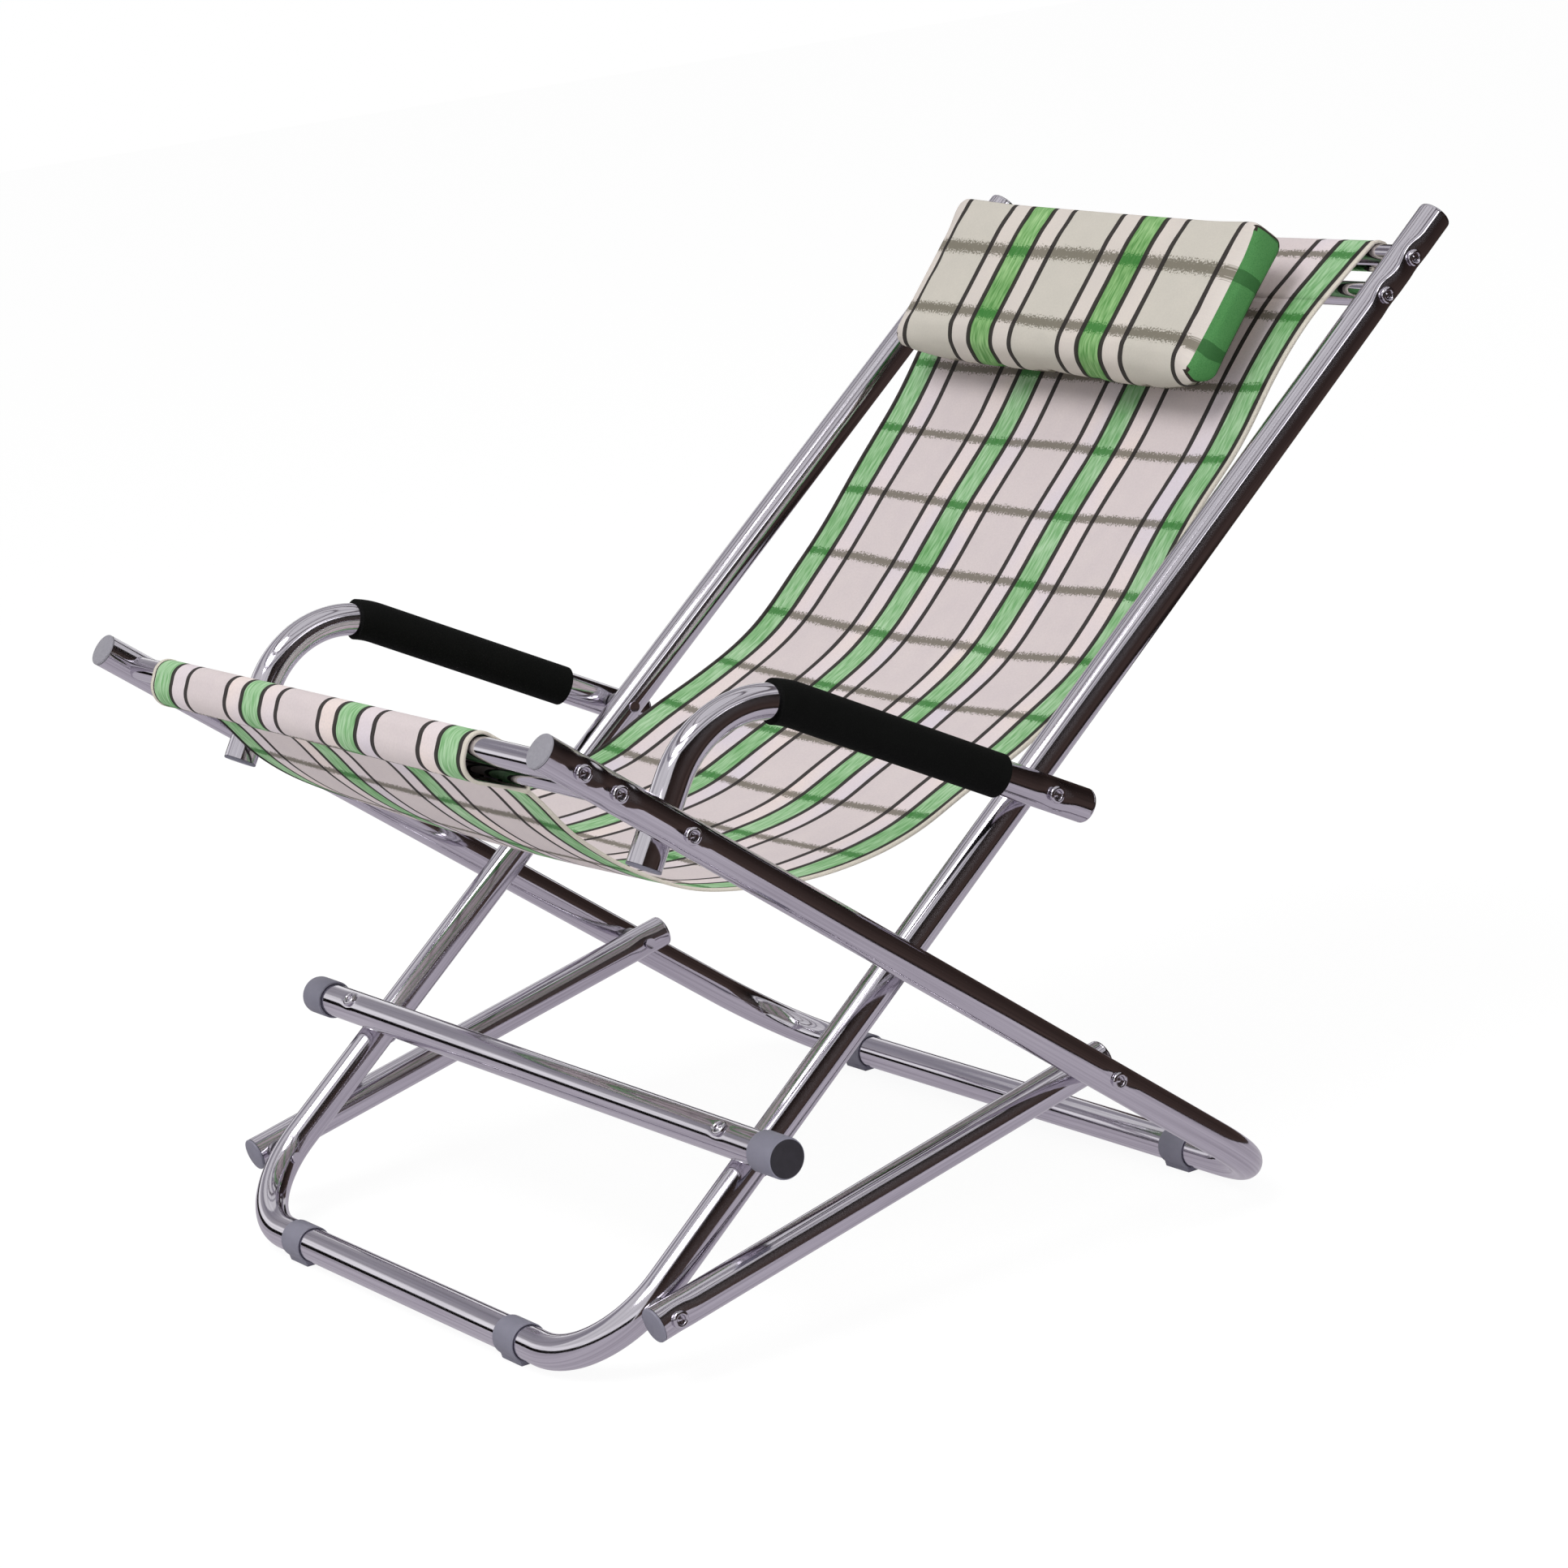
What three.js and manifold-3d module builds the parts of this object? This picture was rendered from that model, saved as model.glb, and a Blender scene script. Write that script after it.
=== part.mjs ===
// Folding lawn chair: two crossed tube frames, a pair of lower links and a pair of arms,
// with one woven sling hung between the frames and a head pillow on it.
// Millimetres, +Z up, the sitter faces -Y, left is the sitter's left (+X).
import * as THREE from 'three';
import { mergeVertices } from 'three/addons/utils/BufferGeometryUtils.js';
import Module from 'manifold-3d';

// Tubes
const TUBE_R = 12.5;
const TUBE_WALL = 1.2;
const BAR_R = 9;
const BEND_R = 75;
const GAP = 0.3;
const SIDES = 20;
const BAR_SIDES = 16;
const BEND_STEPS = 8;

// Width of the cloth, and where each layer of tubes runs beside it, out to the chair's side
const SLING_WIDTH = 476;
const SLING_TO_LEG = 28.5;
const LEG_TO_LINK = 29;
const LINK_TO_SEAT_LEG = 33;
const BACK_X = SLING_WIDTH / 2 + SLING_TO_LEG;
const LINK_X = BACK_X + LEG_TO_LINK;
const SEAT_X = LINK_X + LINK_TO_SEAT_LEG;

// Back frame: floor bar at the front, legs that rise to the back
const BACK_FLOOR_Y = -376;
const BACK_ANGLE = THREE.MathUtils.degToRad(38.7);
const BACK_LENGTH = 1042;
const BACK_BAR_AT = [966, 1002.3];

// Seat frame: floor bar at the rear, legs that rise to the front
const SEAT_FLOOR_Y = 167;
const SEAT_ANGLE = THREE.MathUtils.degToRad(38.2);
const SEAT_LENGTH = 710;
const SEAT_BARS_FROM_END = [59.7, 28.6];
const SEAT_BAR_AT = SEAT_BARS_FROM_END.map((from) => SEAT_LENGTH - from);

// Pivots, measured along the legs from the floor bars
const LINK_ON_BACK = 57;
const LINK_ON_SEAT = 184.8;
const ARM_FROM_END = 122.5;
const ARM_ON_SEAT = SEAT_LENGTH - ARM_FROM_END;
const LINK_LOWER_OVERHANG = 13;
const LINK_UPPER_OVERHANG = 18;

// Arms
const ARM_LEG_ANGLE = THREE.MathUtils.degToRad(60);
const ARM_TOP_ANGLE = THREE.MathUtils.degToRad(28);
const ARM_LEG_OVERHANG = 27;
const ARM_REAR_OVERHANG = 33;
const ARM_BEND_SHARE = 0.24013;
const ARM_BEND_STEPS = 12;
const GRIP_START_SHARE = 0.14218;
const GRIP_BEND_STEPS = 2;
const GRIP_R = 15.75;

// Stop bar that the links come to rest against
const STOP_AT = 179;
const STOP_CAP_BEYOND = 8.5;
const STOP_CAP_END = SEAT_X + STOP_CAP_BEYOND;
const STOP_CAP_R = 14.6;
const STOP_CAP_WALL = 3;
const STOP_CAP_EDGE = 3;

// Feet
const FOOT_R = 14;
const FOOT_LENGTH = 27;
const FOOT_DROP = 15;
const FOOT_FLAT = 8;
const FOOT_ARC_FROM = THREE.MathUtils.degToRad(-50);
const FRONT_FOOT_INSET = 106.5;
const FRONT_FOOT_X = BACK_X - FRONT_FOOT_INSET;
const REAR_FOOT_INSET = 116.5;
const REAR_FOOT_X = SEAT_X - REAR_FOOT_INSET;

// Rivets, washers and plugs
const SHANK_R = 3;
const HEAD_R = 5;
const HEAD_H = 3;
const TAIL_R = 4.5;
const TAIL_H = 1.2;
const WASHER_R = 8;
const RIVET_SIDES = 12;
const HEAD_STEPS = 4;
const LOW_TAIL_SET_IN = 4.6;
const PLUG_DISC = 2;
const PLUG_EDGE = 0.8;
const PLUG_DEPTH = 10;

// Sling and pillow
const CLOTH = 2.4;
const WAIST_DRAWN_IN = 30;
const SLING_WAIST = SLING_WIDTH - WAIST_DRAWN_IN;
const WAIST_FRONT_Y = [-250, 40];
const WAIST_REAR_Y = [270, 400];
const SLING_STEPS = 75;
const WRAP_STEPS = 9;
const WRAP_SWEEP = THREE.MathUtils.degToRad(262);
const SLING_SKEW = 32;
const SKEW_FROM_Y = -20;
const SKEW_TO_Y = -340;
// Middle line of the cloth from the upper bar down to the front bar, as [y, z] from the floor bars' level,
// as it hangs when its front end meets the cloth round the front bars at SLING_DRAWN_TO.
// Its first points, which the pillow lies on, keep their place when the front end moves.
const PILLOW_KNOTS = 5;
const SLING_DRAWN_TO = [-339.5119, 390.7159];
const SLING_LINE = [
  [377.5, 620],
  [344, 593],
  [308, 553],
  [270, 507],
  [221, 459],
  [172, 408],
  [124, 367],
  [64, 337],
  [8, 314],
  [-43, 294],
  [-100, 284.3],
  [-159, 281],
  [-218, 291],
  [-268, 316],
  [-304, 345],
  [-328, 375],
];
const BELLY_BEHIND = 6;
const BELLY_UNDER = 5;
const BELLY_R = 15.6;
const BELLY_SIDES = 36;
const SLING_MEETS = new THREE.Vector2(6.3, -15.9).normalize();
const PILLOW_LENGTH = 398;
const PILLOW_HEIGHT = 144;
const PILLOW_THICK = 52;
const PILLOW_AT = 912;
const PILLOW_OFF = 38;
const PILLOW_TILT = THREE.MathUtils.degToRad(10);
const PILLOW_ROUND = 0.36;
const PILLOW_AROUND = 32;
const PILLOW_ACROSS = 16;

const WELD = 1e-3;
const QUARTER = Math.PI / 2;

const chrome = { color: 0xc6c8d0, roughness: 0.14, metalness: 1 };
const greyPlastic = { color: 0x777883, roughness: 0.5, metalness: 0 };
const foam = { color: 0x121312, roughness: 0.9, metalness: 0 };
const cloth = { color: 0xc8bfb8, roughness: 0.9, metalness: 0 };

const wasm = await Module();
wasm.setup();

// A geometry as a closed solid, its seams welded and its pointed slivers left out
function toSolid(geometry) {
  const bare = new THREE.BufferGeometry();
  bare.setAttribute('position', geometry.getAttribute('position'));
  bare.setIndex(geometry.index);
  const merged = mergeVertices(bare, WELD);
  const corners = merged.index.array;
  const kept = [];
  for (let i = 0; i < corners.length; i += 3) {
    const [a, b, c] = [corners[i], corners[i + 1], corners[i + 2]];
    if (a !== b && b !== c && c !== a) kept.push(a, b, c);
  }
  return new wasm.Manifold(
    new wasm.Mesh({
      numProp: 3,
      vertProperties: merged.getAttribute('position').array,
      triVerts: new Uint32Array(kept),
    }),
  );
}

function toGeometry(solid) {
  const mesh = solid.getMesh();
  const geometry = new THREE.BufferGeometry();
  geometry.setAttribute('position', new THREE.BufferAttribute(mesh.vertProperties, 3));
  geometry.setIndex(new THREE.BufferAttribute(mesh.triVerts, 1));
  geometry.computeVertexNormals();
  return geometry;
}

function cut(geometry, tools) {
  return toGeometry(tools.reduce((solid, tool) => solid.subtract(toSolid(tool)), toSolid(geometry)));
}

// A straight run with rounded corners, measured by its length from the first corner
class Route {
  constructor(corners, radius, steps) {
    this.marks = [];
    this.pieces = [];
    this.length = 0;
    let start = corners[0];
    for (let i = 1; i < corners.length; i += 1) {
      const into = corners[i].clone().sub(corners[i - 1]).normalize();
      if (i === corners.length - 1) {
        this.addLine(start, into, start.distanceTo(corners[i]));
        break;
      }
      const away = corners[i + 1].clone().sub(corners[i]).normalize();
      const turn = into.angleTo(away);
      const back = radius * Math.tan(turn / 2);
      const arcStart = corners[i].clone().addScaledVector(into, -back);
      const arcEnd = corners[i].clone().addScaledVector(away, back);
      const inward = away.clone().sub(into).normalize();
      const centre = corners[i].clone().addScaledVector(inward, radius / Math.cos(turn / 2));
      this.addLine(start, into, start.distanceTo(arcStart));
      this.addArc(arcStart.clone().sub(centre), centre, into, turn, radius, steps);
      start = arcEnd;
    }
    this.marks.push(this.length);
  }

  addLine(start, along, length) {
    this.marks.push(this.length);
    this.pieces.push({
      from: this.length,
      at: (l) => ({ point: start.clone().addScaledVector(along, l), tangent: along.clone() }),
    });
    this.length += length;
  }

  addArc(spoke, centre, along, turn, radius, steps) {
    for (let i = 0; i < steps; i += 1) this.marks.push(this.length + (radius * turn * i) / steps);
    this.pieces.push({
      from: this.length,
      at: (l) => {
        const a = l / radius;
        const point = centre.clone().addScaledVector(spoke, Math.cos(a));
        point.addScaledVector(along, radius * Math.sin(a));
        const tangent = along.clone().multiplyScalar(Math.cos(a));
        tangent.addScaledVector(spoke, -Math.sin(a) / radius);
        return { point, tangent: tangent.normalize() };
      },
    });
    this.length += radius * turn;
  }

  at(length) {
    const piece = this.pieces.findLast((p) => p.from <= length + WELD);
    return piece.at(length - piece.from);
  }

  stations(from = 0, to = this.length) {
    const inside = this.marks.filter((m) => m > from + WELD && m < to - WELD);
    return [from, ...inside, to].map((m) => this.at(m));
  }
}

// A curve that gives exactly the stations of a route, so that straight runs cost no triangles
class StationPath extends THREE.Curve {
  constructor(stations) {
    super();
    this.stations = stations;
  }

  station(u) {
    return this.stations[Math.round(u * (this.stations.length - 1))];
  }

  getPointAt(u, target = new THREE.Vector3()) {
    return target.copy(this.station(u).point);
  }

  getTangentAt(u, target = new THREE.Vector3()) {
    return target.copy(this.station(u).tangent);
  }
}

function circle(radius, sides) {
  const point = (i) => {
    const a = (2 * Math.PI * i) / sides;
    return new THREE.Vector2(radius * Math.cos(a), radius * Math.sin(a));
  };
  return Array.from({ length: sides }, (_, i) => point(i));
}

function ring(outer, inner, sides) {
  const shape = new THREE.Shape(circle(outer, sides));
  shape.holes.push(new THREE.Path(circle(inner, sides)));
  return shape;
}

function sweep(stations, outer, inner, sides) {
  return new THREE.ExtrudeGeometry(ring(outer, inner, sides), {
    steps: stations.length - 1,
    extrudePath: new StationPath(stations),
  });
}

// A flat outline in the y-z plane, drawn out along X from one x to another
function drawnAlongX(shape, fromX, toX) {
  const geometry = new THREE.ExtrudeGeometry(shape, { depth: toX - fromX, bevelEnabled: false });
  geometry.rotateX(QUARTER);
  geometry.rotateZ(QUARTER);
  geometry.translate(fromX, 0, 0);
  return geometry;
}

// A turned piece: its profile is [radius, distance], the distance running along +Y
function turned(profile, sides) {
  return new THREE.LatheGeometry(profile.map(([r, d]) => new THREE.Vector2(r, d)), sides);
}

// The same with the distance running outward on one side of the chair
function turnedOutward(profile, sides, side) {
  return turned(profile, sides).rotateZ(-side * QUARTER);
}

function drill(axis, y, x, reach, radius) {
  const tool = new THREE.CylinderGeometry(radius, radius, reach * 2, RIVET_SIDES);
  if (axis === 'x') tool.rotateZ(QUARTER);
  if (axis === 'z') tool.rotateX(QUARTER);
  return tool.translate(x, y, 0);
}

function dome(at, towards) {
  const step = (i) => (QUARTER * i) / HEAD_STEPS;
  const points = Array.from({ length: HEAD_STEPS + 1 }, (_, i) => [
    i === HEAD_STEPS ? 0 : HEAD_R * Math.cos(step(i)),
    at + towards * HEAD_H * Math.sin(step(i)),
  ]);
  return towards > 0 ? points : points.reverse();
}

// Shank from one face to another with a domed head, and a flat upset tail where it has one
function rivetProfile(from, to, tailed) {
  const tail = [
    [0, from - GAP - TAIL_H],
    [TAIL_R, from - GAP - TAIL_H],
    [TAIL_R, from - GAP],
    [SHANK_R, from - GAP],
  ];
  const plain = [
    [0, from],
    [SHANK_R, from],
  ];
  return [...(tailed ? tail : plain), [SHANK_R, to + GAP], ...dome(to + GAP, 1)];
}

function rodProfile(reach) {
  return [...dome(-reach - GAP, -1), [SHANK_R, -reach - GAP], [SHANK_R, reach + GAP], ...dome(reach + GAP, 1)];
}

function washerProfile(from, to) {
  return [
    [SHANK_R + GAP, from + GAP],
    [WASHER_R, from + GAP],
    [WASHER_R, to - GAP],
    [SHANK_R + GAP, to - GAP],
    [SHANK_R + GAP, from + GAP],
  ];
}

// Plug for the open end of a tube that ends at distance 0, its disc on the +Y side
function plugProfile() {
  const shank = TUBE_R - TUBE_WALL - GAP;
  return [
    [0, -PLUG_DEPTH],
    [shank, -PLUG_DEPTH],
    [shank, GAP],
    [TUBE_R, GAP],
    [TUBE_R, GAP + PLUG_DISC - PLUG_EDGE],
    [TUBE_R - PLUG_EDGE, GAP + PLUG_DISC],
    [0, GAP + PLUG_DISC],
  ];
}

const chair = new THREE.Group();
chair.name = 'folding_lawn_chair';

function frameGroup(name, y, z, angle) {
  const group = new THREE.Group();
  group.name = name;
  group.position.set(0, y, z);
  group.rotation.x = angle;
  chair.add(group);
  return group;
}

function add(group, name, geometry, look) {
  const mesh = new THREE.Mesh(toGeometry(toSolid(geometry)), new THREE.MeshStandardMaterial(look));
  mesh.name = name;
  group.add(mesh);
  return mesh;
}

const sides = [
  ['left', 1],
  ['right', -1],
];
const boreR = SHANK_R + GAP;
const tubeInner = TUBE_R - TUBE_WALL;
const point = (x, y, z) => new THREE.Vector3(x, y, z);
const along = (floorY, angle, station) =>
  new THREE.Vector2(floorY + station * Math.cos(angle), station * Math.sin(angle));

// The arm's pivot on the back frame sits where the four tubes can close flat over one another
const seatDirection = Math.PI - SEAT_ANGLE;
const backFoot = along(BACK_FLOOR_Y, BACK_ANGLE, 0);
const linkOnBack = along(BACK_FLOOR_Y, BACK_ANGLE, LINK_ON_BACK);
const linkOnSeat = along(SEAT_FLOOR_Y, seatDirection, LINK_ON_SEAT);
const armOnSeat = along(SEAT_FLOOR_Y, seatDirection, ARM_ON_SEAT);
const linkSpan = linkOnSeat.clone().sub(linkOnBack);
const flat = ARM_ON_SEAT - LINK_ON_SEAT + linkSpan.length() + LINK_ON_BACK;
const reach = armOnSeat.clone().sub(backFoot);
const backAlong = along(0, BACK_ANGLE, 1);
const ARM_ON_BACK = (flat * flat - reach.lengthSq()) / (2 * (flat - reach.dot(backAlong)));
const armOnBack = along(BACK_FLOOR_Y, BACK_ANGLE, ARM_ON_BACK);
const armReach = armOnBack.distanceTo(armOnSeat);
const armBendR = armReach * ARM_BEND_SHARE;
const gripStart = armReach * GRIP_START_SHARE;

// Back frame
const back = frameGroup('back_frame', BACK_FLOOR_Y, 0, BACK_ANGLE);
const stopOff = TUBE_R + GAP + TUBE_R;

function uTube(halfWidth, length) {
  const corners = [
    point(halfWidth, length, 0),
    point(halfWidth, 0, 0),
    point(-halfWidth, 0, 0),
    point(-halfWidth, length, 0),
  ];
  return sweep(new Route(corners, BEND_R, BEND_STEPS).stations(), TUBE_R, tubeInner, SIDES);
}

add(
  back,
  'back_frame_tube',
  cut(uTube(BACK_X, BACK_LENGTH), [
    ...[LINK_ON_BACK, ARM_ON_BACK, ...BACK_BAR_AT].map((s) => drill('x', s, 0, SEAT_X, boreR)),
    ...sides.map(([, side]) => drill('z', STOP_AT, side * BACK_X, stopOff, boreR)),
  ]),
  chrome,
);

// A bar between the two legs of a frame, its ends hollowed to sit on the legs
function copedBar(legX, station) {
  const run = new Route([point(-legX, station, 0), point(legX, station, 0)], BEND_R, 1).stations();
  const legs = sides.map(([, side]) => {
    const leg = new THREE.CylinderGeometry(TUBE_R + GAP, TUBE_R + GAP, BEND_R * 2, SIDES);
    return leg.translate(side * legX, station, 0);
  });
  return cut(sweep(run, BAR_R, BAR_R - TUBE_WALL, BAR_SIDES), legs);
}

function barsOf(group, names, stations, legX) {
  names.forEach((name, i) => {
    add(group, name, copedBar(legX, stations[i]), chrome);
    const rod = turned(rodProfile(legX + TUBE_R), RIVET_SIDES).rotateZ(QUARTER);
    add(group, `${name}_rod`, rod.translate(0, stations[i], 0), chrome);
  });
}

barsOf(back, ['back_lower_bar', 'back_upper_bar'], BACK_BAR_AT, BACK_X);

// Foot sleeve round a floor bar, with a flat underside that stands level on the ground
function footSleeve(x, tilt) {
  const shape = new THREE.Shape();
  shape.moveTo(FOOT_FLAT, -FOOT_DROP);
  for (let i = 0; i <= SIDES; i += 1) {
    const a = FOOT_ARC_FROM + ((Math.PI - 2 * FOOT_ARC_FROM) * i) / SIDES;
    shape.lineTo(FOOT_R * Math.cos(a), FOOT_R * Math.sin(a));
  }
  shape.lineTo(-FOOT_FLAT, -FOOT_DROP);
  shape.holes.push(new THREE.Path(circle(TUBE_R + GAP, SIDES)));
  const sleeve = drawnAlongX(shape, x - FOOT_LENGTH / 2, x + FOOT_LENGTH / 2);
  return sleeve.rotateX(-tilt);
}

sides.forEach(([label, side]) => {
  add(back, `front_foot_${label}`, footSleeve(side * FRONT_FOOT_X, BACK_ANGLE), greyPlastic);
  const cap = turned(plugProfile(), SIDES).translate(side * BACK_X, BACK_LENGTH, 0);
  add(back, `back_top_plug_${label}`, cap, chrome);
});

// Stop bar with its end caps, riveted on top of the legs
const capInner = LINK_X + TUBE_R + GAP * 2;
const stopEnd = STOP_CAP_END - STOP_CAP_WALL - GAP;
const stopRun = new Route([point(-stopEnd, 0, 0), point(stopEnd, 0, 0)], BEND_R, 1).stations();
const stopHoles = sides.map(([, side]) => drill('z', 0, side * BACK_X, stopOff, boreR));
add(
  back,
  'stop_bar',
  cut(sweep(stopRun, TUBE_R, tubeInner, SIDES), stopHoles).translate(0, STOP_AT, stopOff),
  chrome,
);
sides.forEach(([label, side]) => {
  const cup = [
    [0, stopEnd + GAP],
    [TUBE_R + GAP, stopEnd + GAP],
    [TUBE_R + GAP, capInner],
    [STOP_CAP_R, capInner],
    [STOP_CAP_R, STOP_CAP_END - STOP_CAP_EDGE],
    [STOP_CAP_R - STOP_CAP_EDGE / 3, STOP_CAP_END - STOP_CAP_EDGE / 3],
    [STOP_CAP_R - STOP_CAP_EDGE, STOP_CAP_END],
    [0, STOP_CAP_END],
  ];
  const cap = turnedOutward(cup, SIDES, side).translate(0, STOP_AT, stopOff);
  add(back, `stop_bar_cap_${label}`, cap, greyPlastic);
  const rivet = turned(rivetProfile(-TUBE_R, stopOff + TUBE_R, true), RIVET_SIDES).rotateX(QUARTER);
  add(back, `stop_bar_rivet_${label}`, rivet.translate(side * BACK_X, STOP_AT, 0), chrome);
});

// Pivots on the back frame
function pivotOn(group, name, station, stack, side) {
  const place = (profile, count) => turnedOutward(profile, count, side).translate(0, station, 0);
  add(group, `${name}_rivet`, place(rivetProfile(...stack.rivet), RIVET_SIDES), chrome);
  add(group, `${name}_washer`, place(washerProfile(...stack.washer), BAR_SIDES), chrome);
}

const backOuter = BACK_X + TUBE_R;
const linkInner = LINK_X - TUBE_R;
const linkOuter = LINK_X + TUBE_R;
const seatInner = SEAT_X - TUBE_R;
const seatOuter = SEAT_X + TUBE_R;
sides.forEach(([label, side]) => {
  const backWasher = [backOuter, linkInner];
  const lowTail = BACK_X - TUBE_R - LOW_TAIL_SET_IN;
  const low = { rivet: [lowTail, linkOuter, true], washer: backWasher };
  const high = { rivet: [BACK_X - TUBE_R, linkOuter, true], washer: backWasher };
  pivotOn(back, `link_back_pivot_${label}`, LINK_ON_BACK, low, side);
  pivotOn(back, `arm_back_pivot_${label}`, ARM_ON_BACK, high, side);
});

// Seat frame
const seat = frameGroup('seat_frame', SEAT_FLOOR_Y, 0, seatDirection);
add(
  seat,
  'seat_frame_tube',
  cut(
    uTube(SEAT_X, SEAT_LENGTH),
    [LINK_ON_SEAT, ARM_ON_SEAT, ...SEAT_BAR_AT].map((s) => drill('x', s, 0, SEAT_X * 2, boreR)),
  ),
  chrome,
);
barsOf(seat, ['seat_rear_bar', 'seat_front_bar'], SEAT_BAR_AT, SEAT_X);
sides.forEach(([label, side]) => {
  add(seat, `rear_foot_${label}`, footSleeve(side * REAR_FOOT_X, seatDirection), greyPlastic);
  const plug = turned(plugProfile(), SIDES).translate(side * SEAT_X, SEAT_LENGTH, 0);
  add(seat, `seat_front_plug_${label}`, plug, greyPlastic);
  // The right link is held by its rivet; the other links and arms rest beside theirs
  const held = side < 0;
  const spacer = [linkOuter, seatInner];
  const low = { rivet: [held ? linkInner : linkOuter + GAP, seatOuter, held], washer: spacer };
  const high = { rivet: [linkOuter + GAP, seatOuter, false], washer: spacer };
  pivotOn(seat, `link_seat_pivot_${label}`, LINK_ON_SEAT, low, side);
  pivotOn(seat, `arm_seat_pivot_${label}`, ARM_ON_SEAT, high, side);
});

// Lower links
sides.forEach(([label, side]) => {
  const link = frameGroup(`link_${label}`, linkOnBack.x, linkOnBack.y, linkSpan.angle());
  const x = side * LINK_X;
  const from = -LINK_LOWER_OVERHANG;
  const to = linkSpan.length() + LINK_UPPER_OVERHANG;
  const run = new Route([point(x, from, 0), point(x, to, 0)], BEND_R, 1).stations();
  const bores = side < 0 ? [0, linkSpan.length()] : [0];
  const tube = cut(
    sweep(run, TUBE_R, tubeInner, SIDES),
    bores.map((s) => drill('x', s, x, TUBE_R * 2, boreR)),
  );
  add(link, `lower_link_${label}`, tube, chrome);
  const low = turned(plugProfile(), SIDES).rotateX(Math.PI).translate(x, from, 0);
  add(link, `link_front_plug_${label}`, low, greyPlastic);
  const high = turned(plugProfile(), SIDES).translate(x, to, 0);
  add(link, `link_rear_plug_${label}`, high, chrome);
});

// Arms, measured from their pivot on the back frame
sides.forEach(([label, side]) => {
  const arm = frameGroup(`arm_${label}`, armOnBack.x, armOnBack.y, 0);
  const x = side * LINK_X;
  const legUp = point(0, Math.cos(ARM_LEG_ANGLE), Math.sin(ARM_LEG_ANGLE));
  const topDown = point(0, Math.cos(ARM_TOP_ANGLE), -Math.sin(ARM_TOP_ANGLE));
  const hook = armOnSeat.clone().sub(armOnBack);
  const pivot = point(x, hook.x, hook.y);
  const lowEnd = pivot.clone().addScaledVector(legUp, -ARM_LEG_OVERHANG);
  const rearEnd = point(x, 0, 0).addScaledVector(topDown, ARM_REAR_OVERHANG);
  const span = -hook.y * topDown.y + hook.x * topDown.z;
  const rise = span / (legUp.z * topDown.y - legUp.y * topDown.z);
  const corner = pivot.clone().addScaledVector(legUp, Math.abs(rise));
  const route = new Route([lowEnd, corner, rearEnd], armBendR, ARM_BEND_STEPS);
  const tube = sweep(route.stations(), TUBE_R, tubeInner, SIDES);
  add(arm, `arm_tube_${label}`, cut(tube, [drill('x', 0, x, TUBE_R * 2, boreR)]), chrome);

  const gripEnd = route.length - ARM_REAR_OVERHANG - gripStart;
  const gripFrom = route.marks[ARM_BEND_STEPS + 1 - GRIP_BEND_STEPS];
  const gripRun = route.stations(gripFrom, gripEnd);
  add(arm, `arm_grip_${label}`, sweep(gripRun, GRIP_R, TUBE_R + GAP, SIDES), foam);

  const frontPlug = turned(plugProfile(), SIDES).rotateX(ARM_LEG_ANGLE + Math.PI);
  add(arm, `arm_front_plug_${label}`, frontPlug.translate(lowEnd.x, lowEnd.y, lowEnd.z), greyPlastic);
  const rearPlug = turned(plugProfile(), SIDES).rotateX(-ARM_TOP_ANGLE);
  add(arm, `arm_rear_plug_${label}`, rearPlug.translate(rearEnd.x, rearEnd.y, rearEnd.z), chrome);
});

// Sling: one sheet from round the back frame's upper bar down to the seat frame's front bars
const wrapR = BAR_R + GAP * 2 + CLOTH / 2;
const upperBar = along(BACK_FLOOR_Y, BACK_ANGLE, BACK_BAR_AT[1]);
const rearBar = along(SEAT_FLOOR_Y, seatDirection, SEAT_BAR_AT[0]);
const wrap = Array.from({ length: WRAP_STEPS }, (_, i) => {
  const a = BACK_ANGLE + QUARTER - WRAP_SWEEP * (1 - i / (WRAP_STEPS - 1));
  return new THREE.Vector2(upperBar.x + wrapR * Math.cos(a), upperBar.y + wrapR * Math.sin(a));
});
const loopR = BAR_R + GAP + CLOTH;
const meet = rearBar.clone().addScaledVector(SLING_MEETS, loopR + GAP * 2);
const frontMoved = meet.clone().sub(new THREE.Vector2(...SLING_DRAWN_TO));
const hung = SLING_LINE.map(([y, z], i) => {
  const share = THREE.MathUtils.smoothstep(i + 1, PILLOW_KNOTS, SLING_LINE.length + 1);
  return new THREE.Vector2(y, z).addScaledVector(frontMoved, share);
});
const line = [...wrap, ...hung, meet];
const middle = new THREE.SplineCurve(line);

function sheetOutline(curve, steps, thickness) {
  const upper = [];
  const lower = [];
  for (let i = 0; i <= steps; i += 1) {
    const p = curve.getPoint(i / steps);
    const t = curve.getTangent(i / steps);
    const normal = new THREE.Vector2(-t.y, t.x).multiplyScalar(thickness / 2);
    upper.push(p.clone().add(normal));
    lower.unshift(p.clone().sub(normal));
  }
  return new THREE.Shape([...upper, ...lower]);
}

// Drawn in at the waist, and pulled to the right at the front
function pulled(geometry) {
  const places = geometry.getAttribute('position');
  const smooth = THREE.MathUtils.smoothstep;
  for (let i = 0; i < places.count; i += 1) {
    const y = places.getY(i);
    const waist = smooth(y, ...WAIST_FRONT_Y) * (1 - smooth(y, ...WAIST_REAR_Y));
    const width = 1 - (1 - SLING_WAIST / SLING_WIDTH) * waist;
    const skew = SLING_SKEW * smooth(-y, -SKEW_FROM_Y, -SKEW_TO_Y);
    places.setX(i, places.getX(i) * width - skew);
  }
  return geometry;
}

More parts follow.
